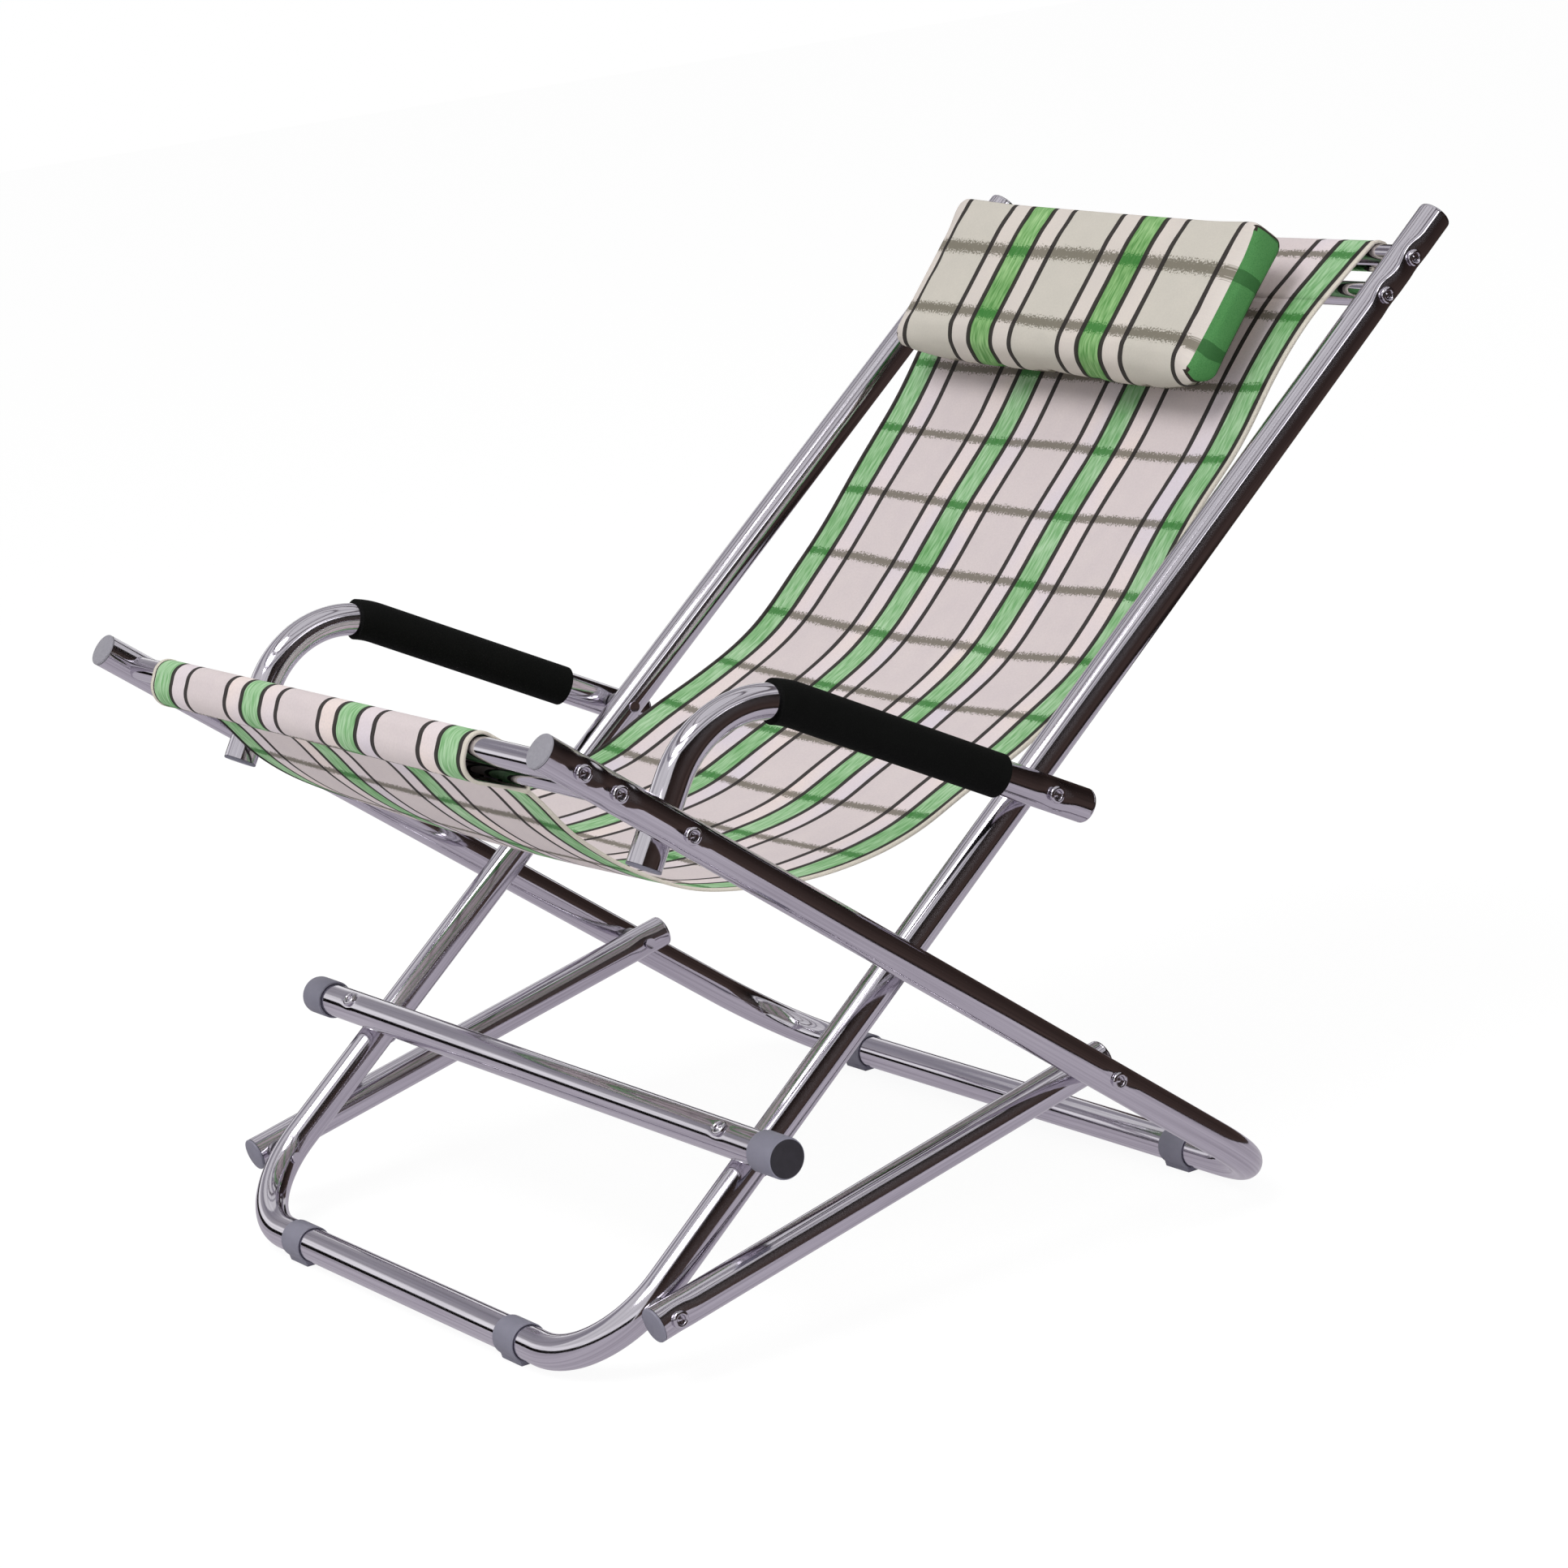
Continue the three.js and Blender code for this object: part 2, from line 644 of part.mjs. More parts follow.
const sheet = drawnAlongX(sheetOutline(middle, SLING_STEPS, CLOTH), -SLING_WIDTH / 2, SLING_WIDTH / 2);
add(chair, 'sling', pulled(sheet), cloth);

// The sling's front end, wrapped round both front bars of the seat frame with a full belly under them
function bellied(grow) {
  const rounds = [
    [SEAT_BAR_AT[0], 0, BAR_R + GAP],
    [SEAT_BAR_AT[1], 0, BAR_R + GAP],
    [SEAT_BAR_AT[1] - BELLY_BEHIND, BELLY_UNDER, BELLY_R - CLOTH],
  ];
  return Array.from({ length: BELLY_SIDES }, (_, i) => {
    const a = (2 * Math.PI * i) / BELLY_SIDES;
    const out = ([x, y, r]) => x * Math.cos(a) + y * Math.sin(a) + r;
    const [x, y, r] = rounds.reduce((best, round) => (out(round) > out(best) ? round : best));
    return new THREE.Vector2(x + (r + grow) * Math.cos(a), y + (r + grow) * Math.sin(a));
  });
}
const loop = new THREE.Shape(bellied(CLOTH));
loop.holes.push(new THREE.Path(bellied(0)));
const loopMesh = drawnAlongX(loop, -SLING_WIDTH / 2 - SLING_SKEW, SLING_WIDTH / 2 - SLING_SKEW);
add(seat, 'sling_front_loop', loopMesh, cloth);

// Head pillow: a stuffed slab with round edges, its face a little forward of the sling at the top
function softBlock(length, height, thick) {
  const ball = new THREE.SphereGeometry(1, PILLOW_AROUND, PILLOW_ACROSS);
  const places = ball.getAttribute('position');
  const full = (v) => (Math.abs(v) < WELD ** 2 ? 0 : Math.sign(v) * Math.abs(v) ** PILLOW_ROUND);
  for (let i = 0; i < places.count; i += 1) {
    const across = Math.hypot(places.getX(i), places.getY(i));
    const lift = full(places.getZ(i));
    const belly = across ** PILLOW_ROUND;
    const turnX = across ? places.getX(i) / across : 0;
    const turnY = across ? places.getY(i) / across : 0;
    const x = (belly * full(turnX) * length) / 2;
    const y = (belly * full(turnY) * height) / 2;
    places.setXYZ(i, x, y, (lift * thick) / 2);
  }
  return ball;
}
const pillow = softBlock(PILLOW_LENGTH, PILLOW_HEIGHT, PILLOW_THICK).rotateX(PILLOW_TILT);
add(back, 'head_pillow', pillow.translate(0, PILLOW_AT, PILLOW_OFF), cloth);

// The origin is the middle of the chair's box, on the ground
chair.updateMatrixWorld(true);
const box = new THREE.Box3().setFromObject(chair, true);
const middleOfBox = box.getCenter(new THREE.Vector3());
chair.children.forEach((child) => {
  child.position.y -= middleOfBox.y;
  child.position.z -= box.min.z;
});

export default chair;
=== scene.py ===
import math

import bmesh
import bpy
from mathutils import Matrix, Vector


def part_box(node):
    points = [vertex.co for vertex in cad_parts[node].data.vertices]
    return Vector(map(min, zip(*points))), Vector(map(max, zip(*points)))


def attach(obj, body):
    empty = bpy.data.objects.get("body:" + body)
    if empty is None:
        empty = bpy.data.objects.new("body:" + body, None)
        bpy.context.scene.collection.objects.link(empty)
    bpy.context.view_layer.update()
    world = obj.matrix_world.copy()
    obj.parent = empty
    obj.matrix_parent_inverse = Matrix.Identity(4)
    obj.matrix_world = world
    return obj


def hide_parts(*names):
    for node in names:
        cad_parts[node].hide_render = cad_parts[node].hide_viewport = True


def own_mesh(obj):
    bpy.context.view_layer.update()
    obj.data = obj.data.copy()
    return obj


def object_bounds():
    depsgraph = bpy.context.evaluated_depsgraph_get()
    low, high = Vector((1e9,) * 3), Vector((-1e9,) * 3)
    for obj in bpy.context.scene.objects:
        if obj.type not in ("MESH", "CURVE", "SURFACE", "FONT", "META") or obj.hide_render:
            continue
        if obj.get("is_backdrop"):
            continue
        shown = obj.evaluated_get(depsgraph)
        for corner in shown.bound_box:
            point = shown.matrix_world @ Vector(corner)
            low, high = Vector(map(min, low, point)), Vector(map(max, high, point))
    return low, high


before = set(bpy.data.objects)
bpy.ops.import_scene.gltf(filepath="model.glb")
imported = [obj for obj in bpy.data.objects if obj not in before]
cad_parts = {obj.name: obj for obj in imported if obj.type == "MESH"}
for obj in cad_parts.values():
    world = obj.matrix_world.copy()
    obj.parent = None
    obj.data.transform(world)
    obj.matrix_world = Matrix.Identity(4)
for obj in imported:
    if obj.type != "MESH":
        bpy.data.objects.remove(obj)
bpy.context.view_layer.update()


# Polished chrome on steel tube. It mirrors the pale room and its dark corners in long
# streaks. Its colour also has painted dark streaks along each tube, partly drawn grain
# and partly painted reflection.
class Wire:
    """A socket of a node tree that can be added to, multiplied and compared."""

    def __init__(self, tree, socket=None):
        self.tree = tree
        self.socket = socket

    def node(self, kind, settings=None, inputs=None, out=0):
        made = self.tree.nodes.new(kind)
        for name, value in (settings or {}).items():
            setattr(made, name, value)
        for name, value in (inputs or {}).items():
            socket = made.inputs[name]
            if isinstance(value, Wire):
                self.tree.links.new(value.socket, socket)
            else:
                socket.default_value = value
        return Wire(self.tree, made.outputs[out])

    def calc(self, operation, *values):
        return self.node("ShaderNodeMath", {"operation": operation}, dict(enumerate(values)))

    def parts(self):
        """The x, y and z of a vector."""
        split = self.node("ShaderNodeSeparateXYZ", None, {"Vector": self})
        return [Wire(self.tree, output) for output in split.socket.node.outputs]

    def __add__(self, other):
        return self.calc("ADD", self, other)

    def __sub__(self, other):
        return self.calc("SUBTRACT", self, other)

    def __rsub__(self, other):
        return self.calc("SUBTRACT", other, self)

    def __mul__(self, other):
        return self.calc("MULTIPLY", self, other)

    def __truediv__(self, other):
        return self.calc("DIVIDE", self, other)

    def __lt__(self, other):
        return self.calc("LESS_THAN", self, other)

    __radd__ = __add__
    __rmul__ = __mul__


def tint(red, green, blue):
    """A colour as it is seen on a screen, each part up to 255."""
    parts = (value / 255 for value in (red, green, blue))
    linear = (p / 12.92 if p < 0.04045 else ((p + 0.055) / 1.055) ** 2.4 for p in parts)
    return (*linear, 1.0)


def new_finish(name):
    """A material, a wire to start its nodes with, and its shader's inputs."""
    material = bpy.data.materials.new(name)
    material.use_nodes = True
    shader = material.node_tree.nodes["Principled BSDF"]
    return material, Wire(material.node_tree), shader.inputs


def feed(wire, socket):
    wire.tree.links.new(wire.socket, socket)


def mixed(share, first, second):
    settings = {"data_type": "RGBA"}
    return share.node("ShaderNodeMix", settings, {0: share, 6: first, 7: second}, out=2)


def on_object(start):
    return start.node("ShaderNodeTexCoord", out="Object")


def noise(start, place, scale, detail=3.0):
    inputs = {"Vector": place, "Scale": scale, "Detail": detail}
    return start.node("ShaderNodeTexNoise", None, inputs)


def grained(start, height, strength, depth=0.0003):
    """A fine bump from a height."""
    inputs = {"Strength": strength, "Distance": depth, "Height": height}
    return start.node("ShaderNodeBump", None, inputs)


chrome, start, shader = new_finish("polished_chrome")
shader["Metallic"].default_value = 1.0
place = on_object(start)
lie = start.node("ShaderNodeAttribute", {"attribute_name": "lie"}, out="Vector")
haze = noise(start, place, 9.0)
drawn_grain_and_painted_streaks = noise(start, lie.node("ShaderNodeMapping", None, {"Vector": lie, "Scale": (6, 620, 620)}), 1.0, 4.0)
bright = mixed(haze, tint(232, 229, 236), tint(214, 209, 220))
# Painted reflection: the colour is darkened in streaks along each tube, partly drawn grain and partly
# standing in for mirrored dark streaks.
feed(mixed(drawn_grain_and_painted_streaks * drawn_grain_and_painted_streaks * 1.1, bright, tint(142, 136, 146)), shader["Base Color"])
feed(0.05 + haze * 0.05 + drawn_grain_and_painted_streaks * drawn_grain_and_painted_streaks * 0.12, shader["Roughness"])
feed(grained(start, drawn_grain_and_painted_streaks, 0.10, 0.0002), shader["Normal"])

# Bent tube frames: the back frame's U lies inside and the seat frame's U outside.
# Each is one length of 25 mm tube, bent twice, its fixings set in shallow dimples.
TUBE_R = 0.0125
STEP = 0.004
scene = bpy.context.scene


def socket_of(tree, label):
    return tree.interface.items_tree[label].identifier


def new_tree(name, inputs):
    """A geometry tree with named inputs, and a wire for each of them."""
    tree = bpy.data.node_groups.new(name, "GeometryNodeTree")
    for label, kind in inputs.items():
        tree.interface.new_socket(label, in_out="INPUT", socket_type="NodeSocket" + kind)
    tree.interface.new_socket("Mesh", in_out="OUTPUT", socket_type="NodeSocketGeometry")
    given = tree.nodes.new("NodeGroupInput")
    return tree, {label: Wire(tree, given.outputs[label]) for label in inputs}


def close_tree(tree, mesh, finish):
    """Ends a tree with plain mesh in one material."""
    real = mesh.node("GeometryNodeRealizeInstances", None, {"Geometry": mesh})
    inputs = {"Geometry": real, "Material": finish}
    dressed = mesh.node("GeometryNodeSetMaterial", None, inputs)
    result = tree.nodes.new("NodeGroupOutput")
    feed(dressed, result.inputs["Mesh"])


def captured(shape, kind, name, value):
    """The shape with a value kept on its points, and a wire of the kept value."""
    holder = shape.node("GeometryNodeCaptureAttribute", {"domain": "POINT"}, {"Geometry": shape})
    node = holder.socket.node
    node.capture_items.new(kind, name)
    feed(value, node.inputs[1])
    return holder, Wire(shape.tree, node.outputs[1])


tube_tree, given = new_tree("tube_along_line", {
    "Line": "Geometry", "Radius": "Float", "Bend radius": "Float",
    "Step": "Float", "End round": "Float", "Finish": "Material",
})
curve = given["Line"].node("GeometryNodeMeshToCurve", None, {"Mesh": given["Line"]})
bent = curve.node(
    "GeometryNodeFilletCurve",
    {"mode": "POLY"},
    {"Curve": curve, "Count": 32, "Radius": given["Bend radius"]},
)
stations = bent.node(
    "GeometryNodeResampleCurve", {"mode": "LENGTH"}, {"Curve": bent, "Length": given["Step"]}
)
passed = curve.node("GeometryNodeSplineParameter", out="Length")
whole = curve.node("GeometryNodeSplineLength", out="Length")
from_end = passed.calc("MINIMUM", passed, whole - passed) / given["End round"]
short = 1 - from_end.calc("MINIMUM", from_end, 1.0)
drawn_in = 1 - (1 - short * short).calc("SQRT", 1 - short * short)
slim = 1 - drawn_in * (given["End round"] / given["Radius"])
rounded = curve.node("GeometryNodeSetCurveRadius", None, {"Curve": stations, "Radius": slim})
ring = curve.node(
    "GeometryNodeCurvePrimitiveCircle", {"mode": "RADIUS"}, {"Resolution": 40, "Radius": given["Radius"]}
)
run, along = captured(rounded, "FLOAT", "along", passed)
rim, rim_place = captured(ring, "VECTOR", "round", ring.node("GeometryNodeInputPosition"))
over, side, _ = rim_place.parts()
lie = rim.node("ShaderNodeCombineXYZ", None, {"X": along, "Y": over, "Z": side})
skin = curve.node(
    "GeometryNodeCurveToMesh", None, {"Curve": run, "Profile Curve": rim, "Fill Caps": True}
)
marked = skin.node(
    "GeometryNodeStoreNamedAttribute",
    {"data_type": "FLOAT_VECTOR", "domain": "POINT"},
    {"Geometry": skin, "Name": "lie", "Value": lie},
)
smooth = marked.node("GeometryNodeSetShadeSmooth", None, {"Geometry": marked})
close_tree(tube_tree, smooth, given["Finish"])


def new_object(name, data):
    obj = bpy.data.objects.new(name, data)
    scene.collection.objects.link(obj)
    return obj


def settled(obj):
    """Freezes an object's modifiers into its mesh."""
    graph = bpy.context.evaluated_depsgraph_get()
    mesh = bpy.data.meshes.new_from_object(obj.evaluated_get(graph))
    obj.modifiers.clear()
    obj.data = mesh
    return mesh


def grown(name, source, tree, values):
    """The mesh that a geometry tree makes of a source mesh, as a new object."""
    obj = new_object(name, source)
    modifier = obj.modifiers.new("shape", "NODES")
    modifier.node_group = tree
    for label, value in values.items():
        modifier[socket_of(tree, label)] = value
    settled(obj).set_sharp_from_angle(angle=math.radians(40))
    return obj


def tube(name, corners, radius=TUBE_R, bend=0.075, step=STEP, end_round=0.0, finish=chrome):
    line = bpy.data.meshes.new(name + "_line")
    line.from_pydata(corners, [(i, i + 1) for i in range(len(corners) - 1)], [])
    values = {"Radius": radius, "Bend radius": bend, "Step": step, "End round": end_round, "Finish": finish}
    return grown(name, line, tube_tree, values)


def dimple(obj, spot, outward, width=0.016, depth=0.0027):
    """Presses the wall of a tube in round a fixing."""
    for vertex in obj.data.vertices:
        away = vertex.co - spot
        height = away.dot(outward)
        if height < -TUBE_R:
            continue
        flat = (away - outward * height).length / width
        if flat < 1:
            vertex.co -= outward * depth * (1 - flat * flat) ** 2


def worn_on(obj, body, slot, *nodes):
    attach(obj, body)
    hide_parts(*nodes)
    return obj


class Leg:
    """Places measured up a leg of a frame from the middle of its floor bar."""

    def __init__(self, node, rear, angle, half_width, length):
        low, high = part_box(node)
        y = high.y - TUBE_R if rear else low.y + TUBE_R
        self.foot = Vector((0, y, low.z + TUBE_R))
        self.along = Vector((0, math.cos(angle), math.sin(angle)))
        self.out = Vector((0, -math.sin(angle), math.cos(angle)))
        self.half_width = half_width
        self.length = length

    def at(self, x, station, out=0.0):
        return self.foot + Vector((x, 0, 0)) + self.along * station + self.out * out

    def corners(self):
        x = self.half_width
        return [self.at(x, self.length), self.at(x, 0), self.at(-x, 0), self.at(-x, self.length)]


BACK_ANGLE = 38.7
SEAT_ANGLE = 38.2
PIVOT_DIMPLE = 0.0016
back = Leg("back_frame_tube", False, math.radians(BACK_ANGLE), 0.2665, 1.042)
seat = Leg("seat_frame_tube", True, math.radians(180 - SEAT_ANGLE), 0.3285, 0.710)
RIGHT = Vector((1, 0, 0))
SIDES = {"left": 1, "right": -1}


def centre(node):
    low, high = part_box(node)
    return (low + high) / 2


def end_of(node, side):
    """Where a fixing across the chair ends, on the left (1) or on the right (-1)."""
    low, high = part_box(node)
    middle = (low + high) / 2
    return Vector((high.x if side > 0 else low.x, middle.y, middle.z))


BARS = (
    ("back_lower_bar", "back_frame"),
    ("back_upper_bar", "back_frame"),
    ("seat_rear_bar", "seat_frame"),
    ("seat_front_bar", "seat_frame"),
)
back_tube = tube("back_frame_bent_tube", back.corners())
seat_tube = tube("seat_frame_bent_tube", seat.corners())
for side in SIDES.values():
    for bar, body in BARS:
        drilled = back_tube if body == "back_frame" else seat_tube
        dimple(drilled, end_of(bar + "_rod", side), RIGHT * side)
for label, side in SIDES.items():
    for pivot in ("arm_seat_pivot_", "link_seat_pivot_"):
        dimple(seat_tube, end_of(pivot + label + "_rivet", side), RIGHT * side, depth=PIVOT_DIMPLE)
worn_on(back_tube, "back_frame", "chrome", "back_frame_tube")
worn_on(seat_tube, "seat_frame", "chrome", "seat_frame_tube")

# Cross bars: thinner tubes between the legs, two near the top of the back frame and
# two near the front of the seat frame. The cloth is hung on these.
BAR_R = 0.009
BAR_INTO_LEG = 0.0035
for name, body in BARS:
    leg = back if body == "back_frame" else seat
    middle = centre(name)
    reach = RIGHT * (leg.half_width - TUBE_R + BAR_INTO_LEG)
    bar = tube(name + "_tube", [middle - reach, middle + reach], radius=BAR_R)
    worn_on(bar, body, "chrome", name)

# Stop bar: a tube laid across the front of the back frame's legs and riveted to them.
# The lower links come up against it when the chair is folded.
STOP_END_IN_CAP = 0.002
SHALLOW_DIMPLE = 0.0012
stop_low, stop_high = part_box("stop_bar")
stop_middle = (stop_low + stop_high) / 2
stop_end = RIGHT * (stop_high.x - STOP_END_IN_CAP)
stop_bar = tube("stop_bar_tube", [stop_middle - stop_end, stop_middle + stop_end])
for label, side in SIDES.items():
    over_leg = stop_middle + RIGHT * side * back.half_width + back.out * TUBE_R
    dimple(stop_bar, over_leg, back.out, width=0.009, depth=SHALLOW_DIMPLE)
worn_on(stop_bar, "back_frame", "chrome", "stop_bar")

# Lower links: straight tubes from the front of the back frame to the rear of the
# seat frame, one on each side, which tie the two frames together near the ground.
LINK_X = 0.2955
LINK_PAST_FRONT = 0.013
LINK_PAST_REAR = 0.018
link_ends = {}
for label, side in SIDES.items():
    front = centre("link_back_pivot_" + label + "_rivet")
    rear = centre("link_seat_pivot_" + label + "_rivet")
    front.x = rear.x = side * LINK_X
    run = (rear - front).normalized()
    link_ends[label] = (front - run * LINK_PAST_FRONT, rear + run * LINK_PAST_REAR, run)
    link = tube("lower_link_tube_" + label, link_ends[label][:2])
    dimple(link, front + RIGHT * side * TUBE_R, RIGHT * side, depth=PIVOT_DIMPLE)
    dimple(link, rear - RIGHT * side * TUBE_R, -RIGHT * side, depth=SHALLOW_DIMPLE)
    worn_on(link, "lower_link_" + label, "chrome", "lower_link_" + label)

# Arms: a tube that rises from the seat frame, bends over and slopes down to the back
# frame. It ends square a little past each of its two pivots.
ARM_LEG = Vector((0, math.cos(math.radians(60)), math.sin(math.radians(60))))
ARM_TOP = Vector((0, math.cos(math.radians(28)), -math.sin(math.radians(28))))
ARM_BEND = 0.076
ARM_PAST_SEAT = 0.027
ARM_PAST_BACK = 0.033
ARM_DIMPLE = 0.0024
arm_pivots = {}
arm_paths = {}
for label, side in SIDES.items():
    low_pivot = centre("arm_seat_pivot_" + label + "_rivet")
    rear_pivot = centre("arm_back_pivot_" + label + "_rivet")
    low_pivot.x = rear_pivot.x = side * LINK_X
    gap = rear_pivot - low_pivot
    rise = (gap.y * ARM_TOP.z - gap.z * ARM_TOP.y) / (ARM_LEG.y * ARM_TOP.z - ARM_LEG.z * ARM_TOP.y)
    corner = low_pivot + ARM_LEG * rise
    arm_pivots[label] = [low_pivot, corner, rear_pivot]
    arm_paths[label] = [low_pivot - ARM_LEG * ARM_PAST_SEAT, corner, rear_pivot + ARM_TOP * ARM_PAST_BACK]
    arm = tube("arm_bent_tube_" + label, arm_paths[label], bend=ARM_BEND)
    dimple(arm, rear_pivot + RIGHT * side * TUBE_R, RIGHT * side, depth=ARM_DIMPLE)
    dimple(arm, rear_pivot - RIGHT * side * TUBE_R, -RIGHT * side, depth=SHALLOW_DIMPLE)
    worn_on(arm, "arm_" + label, "chrome", "arm_tube_" + label)

# Foam grips: black closed-cell foam sleeves slid over the arms, with soft round ends
# and a finely pitted skin.
foam, start, shader = new_finish("black_foam")
place = on_object(start)
cells = start.node("ShaderNodeTexVoronoi", None, {"Vector": place, "Scale": 900.0})
soft = noise(start, place, 60.0)
feed(mixed(soft, tint(5, 6, 5), tint(13, 14, 13)), shader["Base Color"])
feed(0.72 + soft * 0.2, shader["Roughness"])
shader["Specular IOR Level"].default_value = 0.10
feed(grained(start, cells, 0.35, 0.0005), shader["Normal"])
GRIP_R = 0.01575
GRIP_STEP = 0.0012
GRIP_END_ROUND = 0.0035
GRIP_START = 0.045
GRIP_END = 0.241


def bend_points(path, radius, steps):
    """The corner of a three point path as an arc, with its straight parts kept."""
    first, corner, last = path
    into = (corner - first).normalized()
    away = (last - corner).normalized()
    turn = into.angle(away)
    back_off = radius * math.tan(turn / 2)
    begin = corner - into * back_off
    hub = corner + (away - into).normalized() * radius / math.cos(turn / 2)
    spoke = begin - hub
    arc = []
    for i in range(steps + 1):
        a = turn * i / steps
        arc.append(hub + spoke * math.cos(a) + into * radius * math.sin(a))
    return arc


for label in SIDES:
    rear_pivot = arm_pivots[label][-1]
    arc = bend_points(arm_pivots[label], ARM_BEND, 48)
    arc_left = GRIP_END - (rear_pivot - arc[-1]).length
    step = (arc[-1] - arc[-2]).length
    first = len(arc) - 1 - round(arc_left / step)
    line = arc[first:] + [rear_pivot - ARM_TOP * GRIP_START]
    grip = tube("foam_grip_" + label, line, GRIP_R, 0.0, GRIP_STEP, GRIP_END_ROUND, foam)
    worn_on(grip, "arm_" + label, "foam", "arm_grip_" + label)

# Fixings: rivets with a rolled rim and a hollow middle, set through the tubes at each
# pivot and at each end of the cross bars, and upset flat on the inner side.
rivet_tree, given = new_tree(
    "rivets_at_points", {"Points": "Geometry", "Head": "Object", "Finish": "Material"}
)
head = given["Points"].node("GeometryNodeObjectInfo", None, {"Object": given["Head"]}, out="Geometry")
facing = head.node(
    "GeometryNodeInputNamedAttribute", {"data_type": "FLOAT_VECTOR"}, {"Name": "facing"}
)
turn = head.node("FunctionNodeAlignRotationToVector", {"axis": "Z"}, {"Vector": facing})
set_in = head.node(
    "GeometryNodeInstanceOnPoints",
    None,
    {"Points": given["Points"], "Instance": head, "Rotation": turn},
)
close_tree(rivet_tree, set_in, given["Finish"])


def kept_mesh(name, mesh):
    """What was edited, as a mesh that an object can have."""
    made = bpy.data.meshes.new(name)
    mesh.to_mesh(made)
    mesh.free()
    return made


def turned(name, profile, sides=40, finish=chrome):
    """A turned piece: its profile is (radius, height) from the axis round to the axis."""
    mesh = bmesh.new()
    rings = []
    for radius, height in profile:
        count = sides if radius > 1e-7 else 1
        angles = [2 * math.pi * i / sides for i in range(count)]
        rings.append([mesh.verts.new((radius * math.cos(a), radius * math.sin(a), height)) for a in angles])
    for low, high in zip(rings, rings[1:]):
        for i in range(sides):
            j = i + 1
            corners = (low[i % len(low)], low[j % len(low)], high[j % len(high)], high[i % len(high)])
            corners = list(dict.fromkeys(corners))
            if len(corners) > 2:
                mesh.faces.new(corners)
    bmesh.ops.recalc_face_normals(mesh, faces=mesh.faces)
    made = kept_mesh(name, mesh)
    made.shade_smooth()
    made.set_sharp_from_angle(angle=math.radians(35))
    made.materials.append(finish)
    return new_object(name, made)


def mm(*pairs):
    return [(radius / 1000, height / 1000) for radius, height in pairs]


rolled_head = turned(
    "rivet_head_pattern",
    mm((0, -5), (3, -5), (3.2, -0.6), (5.4, -0.6), (6.1, 0), (6.3, 0.8), (6.0, 1.7), (5.3, 2.4), (4.5, 2.7),
       (3.8, 2.4), (3.3, 1.6), (3.0, 0.6), (2.2, 0.2), (1.5, 0.5), (1.0, 1.0), (0, 1.2)),
    28,
)
flat_tail = turned(
    "rivet_tail_pattern", mm((0, -5), (3, -5), (3.1, -0.4), (4.5, -0.2), (4.4, 0.9), (0, 1.2)), 16
)
heads = {"back_frame": [], "seat_frame": []}
tails = {"back_frame": [], "seat_frame": []}
replaced = {"back_frame": [], "seat_frame": []}
HEAD_H = 0.0033
ROD_HEAD_IN = HEAD_H + 0.0018
PIVOT_HEAD_IN = HEAD_H + 0.0012
TAIL_OUT = 0.0012
STOP_HEAD_IN = 0.0008
STOP_TAIL_OUT = 0.0002
for bar, body in BARS:
    for side in SIDES.values():
        heads[body].append((end_of(bar + "_rod", side) - RIGHT * side * ROD_HEAD_IN, RIGHT * side))
    replaced[body].append(bar + "_rod")
for label, side in SIDES.items():
    for pivot, body in (
        ("link_back_pivot_", "back_frame"),
        ("arm_back_pivot_", "back_frame"),
        ("link_seat_pivot_", "seat_frame"),
        ("arm_seat_pivot_", "seat_frame"),
    ):
        node = pivot + label + "_rivet"
        heads[body].append((end_of(node, side) - RIGHT * side * PIVOT_HEAD_IN, RIGHT * side))
        inner = end_of(node, -side)
        if abs(inner.x) < LINK_X:
            tails[body].append((inner + RIGHT * side * TAIL_OUT, -RIGHT * side))
        replaced[body].append(node)
    over_leg = stop_middle + RIGHT * side * back.half_width
    heads["back_frame"].append((over_leg + back.out * (TUBE_R - STOP_HEAD_IN), back.out))
    tails["back_frame"].append((over_leg - back.out * (TUBE_R * 3 + STOP_TAIL_OUT), -back.out))
    replaced["back_frame"].append("stop_bar_rivet_" + label)


def rivets(name, spots, pattern):
    """One mesh of fixings, each set at its spot and facing its own way."""
    points = bpy.data.meshes.new(name + "_points")
    points.from_pydata([spot for spot, _ in spots], [], [])
    facing = points.attributes.new("facing", "FLOAT_VECTOR", "POINT")
    for item, (_, direction) in zip(facing.data, spots):
        item.vector = direction
    return grown(name, points, rivet_tree, {"Head": pattern, "Finish": chrome})


for body in heads:
    made = rivets(body + "_rivet_heads", heads[body], rolled_head)
    worn_on(made, body, "chrome", *replaced[body])
    made = rivets(body + "_rivet_tails", tails[body], flat_tail)
    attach(made, body)
for pattern in (rolled_head, flat_tail):
    bpy.data.objects.remove(pattern)

# Washers and spacers between the tubes at the pivots: plain steel rings, a little
# duller than the chrome. Their shapes come as they are.
def plain_finish(name, tones, scale, detail, rough, spread=0.0, bump=0.0, depth=0.0003, metal=0.0):
    """Two close tones mixed by a fine grain, which can also roughen the skin."""
    material, start, shader = new_finish(name)
    grain = noise(start, on_object(start), scale, detail)
    feed(mixed(grain, *tones), shader["Base Color"])
    shader["Metallic"].default_value = metal
    if spread:
        feed(rough + grain * spread, shader["Roughness"])
    else:
        shader["Roughness"].default_value = rough
    if bump:
        feed(grained(start, grain, bump, depth), shader["Normal"])
    return material


steel_tones = (tint(170, 168, 172), tint(128, 126, 132))
dull_steel = plain_finish("dull_steel", steel_tones, 120.0, 3.0, 0.28, 0.2, metal=1.0)
for node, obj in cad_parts.items():
    if node.endswith("_washer"):
        obj.data.materials.clear()
        obj.data.materials.append(dull_steel)

